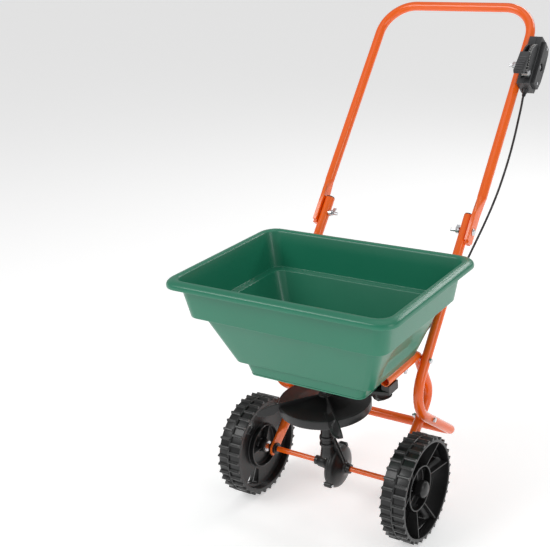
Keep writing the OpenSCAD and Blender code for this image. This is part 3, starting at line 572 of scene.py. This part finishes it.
def make_cable():
    """A tube along the route, with a UV map whose v counts centimetres along it."""
    path = [from_axle(*p) for p in smooth_route(CABLE_ROUTE, CUTS_BETWEEN_POINTS)]
    mesh = bmesh.new()
    uv = mesh.loops.layers.uv.new("along")
    turns = [2 * math.pi * k / CABLE_SIDES for k in range(CABLE_SIDES)]
    side = Vector((1, 0, 0))
    rings, run = [], [0.0]
    for i, point in enumerate(path):
        ahead = (path[min(i + 1, len(path) - 1)] - path[max(i - 1, 0)]).normalized()
        side = (side - ahead * side.dot(ahead)).normalized()
        other = ahead.cross(side)
        rings.append([point + CABLE_RADIUS * MM * (math.cos(a) * side + math.sin(a) * other)
                      for a in turns])
        if i:
            run.append(run[-1] + (point - path[i - 1]).length)
    rows = join_rings(mesh, rings)
    lookup = {vert: (k, run[i]) for i, row in enumerate(rows) for k, vert in enumerate(row)}
    for face in mesh.faces:
        spots = [lookup[loop.vert] for loop in face.loops]
        wraps = max(k for k, _ in spots) == CABLE_SIDES - 1 and min(k for k, _ in spots) == 0
        for loop, (k, along) in zip(face.loops, spots):
            around = CABLE_SIDES if wraps and k == 0 else k
            loop[uv].uv = (around / CABLE_SIDES, along * 100)
    cable = new_piece("cable_sheath", mesh, "cable_black")
    print("cable length", round(run[-1], 3), "m")
    return cable


cable = make_cable()
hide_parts("control_cable")
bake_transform(cable)

# %% [markdown]
# ## Hopper
# The hopper is one moulding: a wide upper band, a ledge, a long slope, another ledge and a shallow
# tray, with a broad rim rolled over at the top. It is lofted from rounded rectangles, up the outside,
# over the rim and down the inside, so its wall is closed. The side walls have a shallow arched
# recess pressed inward. The tray's floor, with its outlets, keeps the CAD model's shape and is cut
# from it.

# %% Hopper
HOPPER_Y = -4.0
SIDE_POINTS = 14
CORNER_POINTS = 7
TRAY_Z = 353.05
LEDGE_Z = 381
INNER_LEDGE_Z = 384
SLOPE_TOP_Z = 494
INNER_SLOPE_TOP_Z = 497
# A level is (half width, half depth, corner radius, height). Each stretch of wall runs from one
# level to another in a number of steps, and the stretches follow one another round the section.
OUTER_WALLS = [((138.3, 90.3, 16, TRAY_Z), (146, 97, 18, LEDGE_Z), 2),
               ((166, 104, 20, LEDGE_Z), (213, 145, 24, SLOPE_TOP_Z), 26),
               ((231, 163, 26, SLOPE_TOP_Z), (246, 175.4, 30, 576), 3)]
RIM_ROLL = [(260, 189, 34, 575.5), (263.4, 192.4, 36, 571), (263.8, 192.8, 37, 564), (266.8, 195.8, 38, 564),
            (266.8, 195.8, 38, 569.5), (265.6, 194.6, 37.4, 573.5), (262.5, 191.5, 36.2, 576.6),
            (257.6, 186.6, 34.4, 578.9), (252, 181, 32, 579.8), (248.6, 177.6, 30, 579.3),
            (245.6, 174.6, 28.4, 577.2)]
INNER_WALLS = [((244, 173, 27, 573.5), (228.5, 160.5, 23, INNER_SLOPE_TOP_Z), 3),
               ((210.3, 142.3, 21, INNER_SLOPE_TOP_Z), (163.5, 101.5, 17, INNER_LEDGE_Z), 26),
               ((143.4, 94.4, 15, INNER_LEDGE_Z), (135.3, 87.3, 13, TRAY_Z), 1)]
RECESS_DEPTH = 9.0
RECESS_RADIUS = 78.0
RECESS_FOOT_Z = 400.0
FLOOR_CUT_Z = 0.3531
FLAT_WITHIN = math.radians(0.6)


def rounded_outline(half_w, half_d, corner, z):
    """Points round a rectangle with rounded corners, counter-clockwise seen from above."""
    points = []
    centres = [(half_w - corner, half_d - corner, 0), (corner - half_w, half_d - corner, 90),
               (corner - half_w, corner - half_d, 180), (half_w - corner, corner - half_d, 270)]
    for number, (cx, cy, first) in enumerate(centres):
        for k in range(CORNER_POINTS + 1):
            a = math.radians(first + 90 * k / CORNER_POINTS)
            points.append((cx + corner * math.cos(a), cy + corner * math.sin(a), z))
        nx, ny, after = centres[(number + 1) % 4]
        start = points[-1]
        a = math.radians(after)
        end = (nx + corner * math.cos(a), ny + corner * math.sin(a), z)
        for k in range(1, SIDE_POINTS):
            t = k / SIDE_POINTS
            points.append((start[0] + (end[0] - start[0]) * t,
                           start[1] + (end[1] - start[1]) * t, z))
    return points


def recess(x, y, z):
    """How far the side walls are pressed inward at a point on the slope, in mm."""
    across = (y - HOPPER_Y) / RECESS_RADIUS
    height = (z - RECESS_FOOT_Z) / RECESS_RADIUS
    if abs(x) < 120 or height <= 0 or abs(across) >= 1:
        return 0.0
    arch = 1 - across * across - height * height
    return RECESS_DEPTH * min(1.0, max(0.0, arch * 3.2)) * min(1.0, height * 4)


def wall_levels(walls):
    """The levels up or down a run of walls, both ends of each wall included."""
    levels = []
    for low, high, steps in walls:
        levels += [[a + (b - a) * k / steps for a, b in zip(low, high)] for k in range(steps)]
        levels.append(high)
    return levels


def make_hopper_shell():
    """The hopper's wall from the tray up, over the rim and down the inside."""
    levels = wall_levels(OUTER_WALLS) + RIM_ROLL + wall_levels(INNER_WALLS)
    mesh = bmesh.new()
    rings = []
    for level in levels:
        ring = []
        for x, y, z in rounded_outline(*level):
            on_slope = INNER_LEDGE_Z < z < SLOPE_TOP_Z and abs(x) > abs(level[0]) - 2
            inward = recess(x, y + HOPPER_Y, z) if on_slope else 0.0
            ring.append(from_axle(x - math.copysign(inward, x), y + HOPPER_Y, z))
        rings.append(ring)
    join_rings(mesh, rings, closed=True)
    shell = new_piece("hopper_shell", mesh, "hopper_green", 28)
    soften(shell, 2.2, 3, 28)
    return shell


def merged_cad_mesh(node):
    """A CAD node's mesh with its triangles joined at their corners."""
    mesh = bmesh.new()
    mesh.from_mesh(frame["nodes"][node].data)
    bmesh.ops.remove_doubles(mesh, verts=mesh.verts, dist=2 * MERGE_WITHIN)
    return mesh


def join_flat_areas(mesh):
    """Joins triangles that lie in one plane into single faces."""
    bmesh.ops.dissolve_limit(mesh, angle_limit=FLAT_WITHIN, verts=mesh.verts, edges=mesh.edges)


def cad_copy(node, name, slot, smooth_over=32.0):
    """A merged copy of a CAD node's mesh, with its flat areas joined into single faces."""
    mesh = merged_cad_mesh(node)
    join_flat_areas(mesh)
    return new_piece(name, mesh, slot, smooth_over)


def make_hopper_floor():
    """The tray's floor, cut from the CAD hopper just above the floor's upper face."""
    mesh = merged_cad_mesh("hopper")
    geometry = mesh.verts[:] + mesh.edges[:] + mesh.faces[:]
    cut = bmesh.ops.bisect_plane(mesh, geom=geometry, plane_co=(0, 0, FLOOR_CUT_Z), plane_no=(0, 0, 1),
                                 clear_outer=True)
    edges = [part for part in cut["geom_cut"] if isinstance(part, bmesh.types.BMEdge)]
    bmesh.ops.triangle_fill(mesh, edges=edges, use_beauty=True)
    join_flat_areas(mesh)
    return new_piece("hopper_floor", mesh, "hopper_green", 32)


shell = make_hopper_shell()
hopper_floor = make_hopper_floor()
fit_to(shell, "chassis", "hopper_green", "hopper")
fit_to(hopper_floor, "chassis", "hopper_green")
print("hopper wall:", len(shell.data.polygons), "faces")

# %% [markdown]
# ## Wheels
# Each wheel is one hollow moulding: a rim, a thin web, a deep ring round the hub, three wedge shaped
# spokes with a window in each, and two staggered rows of tread lugs either side of a low centre
# ring. The rim, web and hub are turned from one profile. A lug and a spoke's side are modelled once
# and repeated round the axle. The windows are cut with a Boolean, because they cross the turned web.

# %% Wheels
WHEEL_INNER = 178.0
LUGS = 34
LUG_ROWS = ((0.6, 25.6), (29.4, 54.4))
SPOKES = 3
SPOKE_HALF_ANGLE = 21.0
SPOKE_FOOT = 48.5
SPOKE_LENGTH = 54.0
TURNED_STEPS = 120
SPOKE_PHASE = {1: math.radians(180), -1: math.radians(-210)}


def lug_piece(name, x0, x1):
    """One tread block: wide at its root, with a narrow raised bar across its crown."""
    mesh = bmesh.new()
    profile = [(-3.6, 107.5), (3.6, 107.5), (3.1, 112.0), (1.5, 112.6), (1.2, 114.6), (-1.2, 114.6),
               (-1.5, 112.6), (-3.1, 112.0)]
    slab(mesh, profile, x0, x1)
    return new_piece(name, mesh, "wheel_black")


def wheel_profile():
    """Rim, web and hub as one closed profile of radius and distance from the inner face."""
    inner_hub = [(6.1, 0), (15, 0), (15, 14), (16.5, 15.6)]
    inner_ring = [(45, 15.8), (46.4, 15), (46.6, 5), (47.3, 4), (49.2, 4), (50, 5), (50.4, 15), (51.6, 15.8)]
    inner_rim = [(92, 16.2), (97.4, 14.6), (98.4, 8), (99.8, 1.2), (101, 0), (107.2, 0), (108.6, 1.0)]
    tread = [(109, 2.4), (109.1, 24.6), (110.4, 25.4), (112.4, 25.8), (113, 27.5), (112.4, 29.2),
             (110.4, 29.6), (109.1, 30.4), (109, 52.6)]
    outer_rim = [(108.6, 54.0), (107.2, 55), (103.4, 55), (102.6, 54.2), (101.8, 46), (99.4, 30),
                 (96.6, 22.6), (92, 20.4)]
    outer_ring = [(52.4, 20), (50.8, 21.2), (50, 37), (49.3, 38), (47.3, 38), (46.6, 37), (46, 21.2),
                  (44.6, 20)]
    outer_hub = [(17, 20), (15.4, 21.4), (15, 43), (6.1, 43)]
    return inner_hub + inner_ring + inner_rim + tread + outer_rim + outer_ring + outer_hub


def rounded_wedge(radius_low, radius_high, half_low, half_high, corner):
    """A wedge outline with rounded corners, in Y and Z, pointing down at the hub."""
    ends_at = ((radius_low, -half_low), (radius_high, -half_high), (radius_high, half_high),
               (radius_low, half_low))
    corners = [Vector((radius * math.sin(a), radius * math.cos(a))) for radius, a in ends_at]
    outline = []
    for i, here in enumerate(corners):
        before = (corners[i - 1] - here).normalized() * corner
        after = (corners[(i + 1) % 4] - here).normalized() * corner
        for k in range(7):
            t = k / 6
            outline.append((1 - t) ** 2 * (here + before) + 2 * t * (1 - t) * here
                           + t ** 2 * (here + after))
    return [tuple(p) for p in outline]


def window_outline():
    """The outline of the window through one spoke."""
    return rounded_wedge(57, 95, math.radians(11), math.radians(15), 6.5)


def open_windows(rim, side, centre):
    """Cuts a window in each spoke with a Boolean modifier, then keeps a plain mesh."""
    mesh = bmesh.new()
    outline = window_outline()
    for number in range(SPOKES):
        turn = Matrix.Rotation(SPOKE_PHASE[side] + 2 * math.pi * number / SPOKES, 3, "X")
        join_rings(mesh, [[centre + turn @ (Vector((side * x, y, z)) * MM) for y, z in outline]
                          for x in (10, 40)])
    tool = new_piece("window_tool", mesh, "wheel_black")
    cut = rim.modifiers.new("windows", "BOOLEAN")
    cut.object = tool
    cut.solver = "EXACT"
    depsgraph = bpy.context.evaluated_depsgraph_get()
    plain = bpy.data.meshes.new_from_object(rim.evaluated_get(depsgraph))
    rim.modifiers.clear()
    rim.data = plain
    plain.set_sharp_from_angle(angle=math.radians(30))
    bpy.data.objects.remove(tool)


def spoke_depth(radius, at_hub, at_rim):
    """How far out a spoke's face lies at a radius: it slopes from the hub's ring to the rim."""
    return at_hub + (at_rim - at_hub) * (radius - SPOKE_FOOT) / SPOKE_LENGTH


def spoke_piece(name, side):
    """One spoke: two side ribs, and a sloping face with a rounded window, modelled pointing up."""
    mesh = bmesh.new()
    for sign in (-1, 1):
        low = math.radians(SPOKE_HALF_ANGLE) * sign
        high = math.radians(SPOKE_HALF_ANGLE + 2) * sign
        rings = []
        for r, a, half in ((SPOKE_FOOT, low, 1.4), (102.4, high, 1.7)):
            across = Vector((math.cos(a), -math.sin(a))) * half
            middle = Vector((r * math.sin(a), r * math.cos(a)))
            top = spoke_depth(r, 37, 52)
            rings.append([Vector((side * x, *(middle + across * s))) * MM
                          for x, s in ((16.4, -1), (16.4, 1), (top, 1), (top, -1))])
        join_rings(mesh, rings)
    outer = rounded_wedge(48.8, 101, math.radians(20.5), math.radians(22), 3)
    middle = rounded_wedge(55, 97, math.radians(13.2), math.radians(17), 8)
    inner = window_outline()
    steps = ((outer, 17, 17), (outer, 27, 40), (middle, 25, 37), (inner, 22, 33), (inner, 17, 17))
    rings = []
    for outline, at_hub, at_rim in steps:
        rings.append([Vector((side * spoke_depth(math.hypot(*p), at_hub, at_rim), p[0], p[1])) * MM
                      for p in outline])
    join_rings(mesh, rings, closed=True)
    return new_piece(name, mesh, "wheel_black")


def hub_rib_piece(name, side):
    """A thin rib between the hub and its ring, on both faces of the web."""
    mesh = bmesh.new()
    for x0, x1 in ((17, 31), (6, 16.5)):
        slab(mesh, [(-1.2, 14), (1.2, 14), (1.2, 47.5), (-1.2, 47.5)], side * x0, side * x1)
    return new_piece(name, mesh, "wheel_black")


def make_wheel(side, name, body, node):
    """A whole wheel on one side: +1 is the operator's right."""
    centre = AXLE + Vector((side * WHEEL_INNER * MM, 0, 0))
    mesh = turned([(r, side * along) for r, along in wheel_profile()], "x", centre, TURNED_STEPS)
    rim = new_piece(name + "_rim", mesh, "wheel_black", 30)
    open_windows(rim, side, centre)
    pieces = [rim]
    for row, (x0, x1) in enumerate(LUG_ROWS):
        lug = lug_piece(f"{name}_lugs_{row}", side * x0, side * x1)
        step = 2 * math.pi / LUGS
        lug.data.transform(Matrix.Rotation(step * row / 2, 4, "X"))
        pieces.append(repeat(lug, "wheel_black", LUGS, turn=step, centre=centre))
    third = 2 * math.pi / SPOKES
    spoke = spoke_piece(name + "_spokes", side)
    spoke.data.transform(Matrix.Rotation(SPOKE_PHASE[side], 4, "X"))
    pieces.append(repeat(spoke, "wheel_black", SPOKES, turn=third, centre=centre))
    rib = hub_rib_piece(name + "_hub_ribs", side)
    rib.data.transform(Matrix.Rotation(SPOKE_PHASE[side] + third / 2, 4, "X"))
    pieces.append(repeat(rib, "wheel_black", SPOKES, turn=third, centre=centre))
    for piece in pieces:
        fit_to(piece, body, "wheel_black")
    for piece in pieces[3:]:
        soften(piece, 0.5, 2)
    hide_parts(node)
    return pieces


for side, name, body, node in ((1, "right_wheel", "axle_drive", "wheel_right"),
                               (-1, "left_wheel", "free_wheel", "wheel_left")):
    wheel = make_wheel(side, name, body, node)
    print(name, "made of", len(wheel), "meshes")

# %% [markdown]
# ## Spinner
# The spinner is a disc with a deep skirt, a low cone round its hub and four vanes. The disc is
# turned. A vane is a thin upright blade whose ridge falls from the hub to a blunt tip beyond the
# rim, with one side sloping down to a foot on the disc. It is lofted once from cross sections and
# repeated four times.

# %% Spinner
DISC_Z = 286.0
SHAFT_Y = -18.0


def make_disc():
    """The disc with its rolled rim, skirt, cone and hub as one turned piece."""
    hub_below = [(4.05, 258), (13, 258), (13.6, 259), (14, 268), (16, 279.5)]
    underside = [(60, 281.5), (94.6, 281.6), (95.6, 280.6)]
    skirt = [(95.8, 268), (96.4, 267), (99.2, 267), (99.9, 268), (100, 283.6)]
    rim = [(99.4, 285.4), (98, 286.2), (95.8, 286.0), (90, 285.9), (62, 286.0)]
    cone = [(56, 286.9), (30, 292.6), (17, 296), (14.6, 297.2), (14, 299), (13, 300), (4.05, 300)]
    mesh = turned(hub_below + underside + skirt + rim + cone, "z", from_axle(0, SHAFT_Y, 0), 96)
    return new_piece("spinner_plate", mesh, "black_plastic", 28)


def vane_sections():
    """Cross sections of one vane: distance out, ridge height, foot height, foot reach, lip depth."""
    over_disc = [(11, 13.5, -1.5, 5, 0), (24, 12.6, -1.6, 11, 0), (45, 11.2, -1.8, 15, 0),
                 (70, 9.2, -2.0, 17, 0), (92, 7.2, -2.2, 18, 0), (100.5, 6.4, -2.4, 18, 0)]
    past_rim = [(103.5, 6.0, -10.0, 17.5, 8), (113, 4.8, -17.4, 16.5, 12), (126, 2.4, -18.4, 14.5, 12),
                (137, -1.0, -18.0, 11.5, 10), (145, -4.8, -16.4, 8, 6), (148.5, -7.6, -14.0, 5, 3)]
    return over_disc + past_rim


def make_vanes():
    """Four vanes at even turns round the shaft."""
    mesh = bmesh.new()
    rings = []
    for out, ridge, foot, reach, lip in vane_sections():
        upright = [(1.6, ridge), (2.0, (ridge + foot) / 2), (2.4, foot)]
        sole = [(-reach * 0.5, foot), (-reach, foot)]
        sloping = [(-reach, foot + 2.4), (-reach * 0.62, foot + 2.4 + lip * 0.25), (-2.4, ridge - 2.6)]
        crest = [(-1.6, ridge - 0.6), (-0.8, ridge + 0.2), (0.8, ridge + 0.3)]
        outline = upright + sole + sloping + crest
        rings.append([Vector((out, across, DISC_Z + high)) * MM for across, high in outline])
    join_rings(mesh, rings)
    vane = new_piece("spinner_vanes", mesh, "black_plastic", 40)
    vane.data.transform(Matrix.Rotation(math.radians(45), 4, "Z"))
    centre = from_axle(0, SHAFT_Y, 0)
    return repeat(vane, "black_plastic", 4, turn=math.pi / 2, axis=(0, 0, 1), centre=centre)


plate, vanes = make_disc(), make_vanes()
fit_to(plate, "spinner", "black_plastic", "spinner_disc")
fit_to(vanes, "spinner", "black_plastic")
soften(vanes, 0.7, 2)

# %% [markdown]
# ## Gearbox
# The gearbox is two moulded halves screwed together round the axle's ring gear and the shaft's
# pinion. From outside it reads as a rounded drum, a slim neck with two collars, a hub on each side
# with a bush in it, three screw bosses and a pair of ribs on each side. Turned shapes that overlap
# give the drum's two halves, the neck and the bosses, and the ribs are lofted.

# %% Gearbox
def drum_half(name, side):
    """One half of the drum: a lens that is thin at its edge and swells to a long hub."""
    edge_left = [(47.4, 11.9), (48.3, 10.6), (48.1, 7.6), (46.4, 4.8), (42, 2.4), (34, -0.6), (26, -3.6)]
    hub_left = [(20, -7.2), (16.6, -12), (14.4, -18), (13.3, -25), (12.6, -34.8), (11.8, -36)]
    edge_right = [(47.4, 12.1), (48.3, 13.4), (48.1, 16.6), (46.4, 19.6), (42, 22.4), (34, 25.4), (26, 27.8)]
    hub_right = [(20, 29.4), (16.6, 30.8), (14.4, 32.4), (13.3, 33.8), (12.6, 35.2), (11.8, 36)]
    slope = edge_left + hub_left if side < 0 else edge_right + hub_right
    profile = [(9.1, slope[0][1])] + slope + [(9.1, slope[-1][1])]
    return new_piece(name, turned(profile, "x", AXLE, 96), "black_plastic", 30)


def make_neck():
    """The neck between drum and disc: two collars stand out from a tapering tube."""
    foot = [(9.1, 150), (17.5, 150), (16.0, 160), (14.6, 170), (15.0, 175)]
    low_collar = [(17.2, 176.4), (17.8, 179), (17.0, 182), (14.8, 183.2)]
    high_collar = [(14.6, 190), (16.6, 192), (17.4, 195), (16.6, 198.2), (14.4, 200)]
    tube = [(13.6, 214), (12.8, 236), (12.8, 247)]
    lip = [(13.8, 248.4), (14.0, 256.5), (13.2, 257.6), (9.1, 257.6)]
    mesh = turned(foot + low_collar + high_collar + tube + lip, "z", from_axle(0, SHAFT_Y, 0), 64)
    return new_piece("gearbox_neck", mesh, "black_plastic", 30)


def make_ribs():
    """Two thin ribs from the neck down and out to each hub, with a thicker web between them."""
    mesh = bmesh.new()
    for side, foot in ((1, 33.0), (-1, 22.0)):
        for across in (-5.2, 3.0):
            rings = []
            for x, y, z, wide in ((12, SHAFT_Y, 206, 2.2), (19, SHAFT_Y + 2, 188, 2.6),
                                  (foot - 4, SHAFT_Y + 10, 150, 2.6), (foot, SHAFT_Y + 16, 126, 2.2)):
                rings.append([from_axle(side * (x + dx), y + across + dy, z)
                              for dx, dy in ((-9, 0), (0, 0), (0, wide), (-9, wide))])
            join_rings(mesh, rings)
        rings = []
        for x, y, z in ((10, SHAFT_Y, 205), (17, SHAFT_Y + 2, 187), (foot - 6, SHAFT_Y + 10, 149),
                        (foot - 2, SHAFT_Y + 16, 126)):
            rings.append([from_axle(side * (x + dx), y + dy, z)
                          for dx, dy in ((-9, -5), (0, -5), (0, 5), (-9, 5))])
        join_rings(mesh, rings)
    return soften(new_piece("gearbox_ribs", mesh, "black_plastic"), 0.6)


def make_bosses():
    """Three round bosses on the drum's edge, where the halves are screwed together."""
    mesh = bmesh.new()
    for angle in (-35, 50, 215):
        a = math.radians(angle)
        middle = AXLE + Vector((0, 48 * math.cos(a), 48 * math.sin(a))) * MM
        part = turned([(0.5, 1), (5.4, 1), (6.2, 2), (6.2, 17), (5.2, 18), (0.5, 18)], "x", middle, 28)
        data = bpy.data.meshes.new("boss")
        part.to_mesh(data)
        part.free()
        mesh.from_mesh(data)
        bpy.data.meshes.remove(data)
    return new_piece("gearbox_bosses", mesh, "black_plastic")


left_drum = drum_half("gearbox_drum_left", -1)
right_drum = drum_half("gearbox_drum_right", 1)
gearbox_parts = [left_drum, right_drum, make_neck(), make_ribs(), make_bosses()]
for part in gearbox_parts:
    fit_to(part, "chassis", "black_plastic")
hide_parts("gearbox_half_left")
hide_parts("gearbox_half_right")
print("gearbox made of", len(gearbox_parts), "meshes")

# %% [markdown]
# ## Control
# The control is a moulded box on the handle. A lever swings in its slot along a scale, and a spring
# clip on the scale sets where the lever stops. The box's halves are finished copies of the CAD
# solids. The scale's marks, the ribs that the thumb pushes on and the clip's rolled end are small
# pieces added here. The scale's marks carry no numbers.

# %% Control
PIVOT_Y, PIVOT_Z = 304.070, 588.321
CONTROL_S = 420.0
CONTROL = from_axle(0, PIVOT_Y + CONTROL_S * math.sin(LEAN), PIVOT_Z + CONTROL_S * math.cos(LEAN))
SCALE_RADIUS = 52.0
SCALE_FIRST = -38
MARK_HEIGHT = 0.25
MARK_HALF_TURN = 0.55
PADDLE_RIBS = 6
CLIP_ANGLE = math.radians(-46)
CLIP_RADIUS = 58.2


def arc_bar(name, slot, radius, height, x0, x1, half_turn):
    """A short bar on an arc round the control's bolt, on the bolt's far side from the operator."""
    mesh = bmesh.new()
    a = math.radians(half_turn)
    outline = [(-radius * math.cos(t), radius * math.sin(t)) for t in (-a, a)]
    outer = radius + height
    outline += [(-outer * math.cos(t), outer * math.sin(t)) for t in (a, -a)]
    slab(mesh, outline, x0, x1)
    return new_piece(name, mesh, slot)


def on_control(piece, count, first, step, slot):
    """Repeats a bar round the control's bolt from a first angle, and leans it with the handle."""
    piece.data.transform(Matrix.Rotation(math.radians(-first), 4, "X"))
    repeat(piece, slot, count, turn=-math.radians(step))
    piece.data.transform(Matrix.Translation(CONTROL) @ Matrix.Rotation(-LEAN, 4, "X"))
    return piece


MARK_SLOT = "zinc"
MARK_WHITE = ((0.80, 0.80, 0.78), (0.70, 0.70, 0.68))
FINISHES["scale_marks"] = finish("scale_marks", *MARK_WHITE, 0.5, 1500, 0.1)
marks = {"scale_marks_long": (11, 229.6, 233.4, 8.0), "scale_marks_short": (21, 234.6, 236.6, 4.0)}
for name, (count, x0, x1, step) in marks.items():
    bar = arc_bar(name, "scale_marks", SCALE_RADIUS, MARK_HEIGHT, x0, x1, MARK_HALF_TURN)
    fit_to(on_control(bar, count, SCALE_FIRST, step, "scale_marks"), "handle", MARK_SLOT)


def make_paddle_ribs():
    """Thin ribs across the paddle's thumb face."""
    mesh = bmesh.new()
    slab(mesh, [(-61.6, -11.0), (-60.4, -11.0), (-60.6, -12.2), (-61.4, -12.4)], 213.5, 231.5)
    rib = new_piece("paddle_ribs", mesh, "control_grey")
    step = Vector((0, -0.92, -6.4)) * MM
    repeat(rib, "control_grey", PADDLE_RIBS, step=step)
    rib.data.transform(Matrix.Translation(CONTROL) @ Matrix.Rotation(-LEAN, 4, "X"))
    return rib


def make_clip_roll():
    """The rolled end of the spring clip, where a thumb squeezes it."""
    mesh = bmesh.new()
    turn = Matrix.Rotation(-LEAN, 3, "X")
    middle = Vector((0, -CLIP_RADIUS * math.cos(CLIP_ANGLE), CLIP_RADIUS * math.sin(CLIP_ANGLE)))
    turns = [2 * math.pi * k / 24 for k in range(24)]
    rings = []
    for x, size in ((223.4, 2.6), (224.2, 3.4), (237.8, 3.4), (238.6, 2.6)):
        rings.append([CONTROL + turn @ ((middle + Vector((x, size * math.cos(t), size * math.sin(t)))) * MM)
                      for t in turns])
    join_rings(mesh, rings)
    return new_piece("clip_roll", mesh, "steel")


fit_to(make_paddle_ribs(), "lever", "control_grey")
fit_to(make_clip_roll(), "stop", "steel")

# %% [markdown]
# ## Finished copies of the other CAD nodes
# Every other node keeps its CAD shape. The CAD mesh is loose triangles with knife-sharp edges, which
# no real part has. Each node gets a copy whose triangles are merged and whose edges are slightly
# rounded, by an amount that suits how it is made: more for mouldings, less for screws and wire.

# %% Finished copies
EDGE_WIDTH = {"control_inner_half": 1.2, "control_outer_half": 1.2, "base_bracket": 0.9,
              "handle_tube": 0.5, "hub_cap_left": 0.7, "hub_cap_right": 0.7, "control_lever": 0.8,
              "cable_boot": 0.6, "gate_plate": 0.4, "floor_bushing": 0.5, "agitator_clip": 0.0,
              "main_frame": 0.3}
SMALL_PART_EDGE = 0.2
MADE_ABOVE = {"hopper", "wheel_left", "wheel_right", "control_cable", "spinner_disc",
              "gearbox_half_left", "gearbox_half_right"}
finished = []
for node_name in sorted(set(frame["nodes"]) - MADE_ABOVE):
    width = EDGE_WIDTH.get(node_name, SMALL_PART_EDGE)
    slot = slot_of[node_name]
    copy = cad_copy(node_name, node_name + "_finished", slot)
    if width:
        soften(copy, width, 2)
    fit_to(copy, body_of[node_name], slot, node_name)
    finished.append(node_name)
print("finished copies:", len(finished))

# %% [markdown]
# ## Size
# The finished model must stay inside the CAD model's box, because the CAD model is what the part's
# mounts and physics are measured on. The CAD model's box and the finished model's box are both
# written out so that they can be compared.

# %% Size
seen_box = [list(corner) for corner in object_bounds()]
for label, box in (("CAD", cad_box), ("visual", seen_box)):
    print(label, "box", [[round(v, 4) for v in corner] for corner in box])
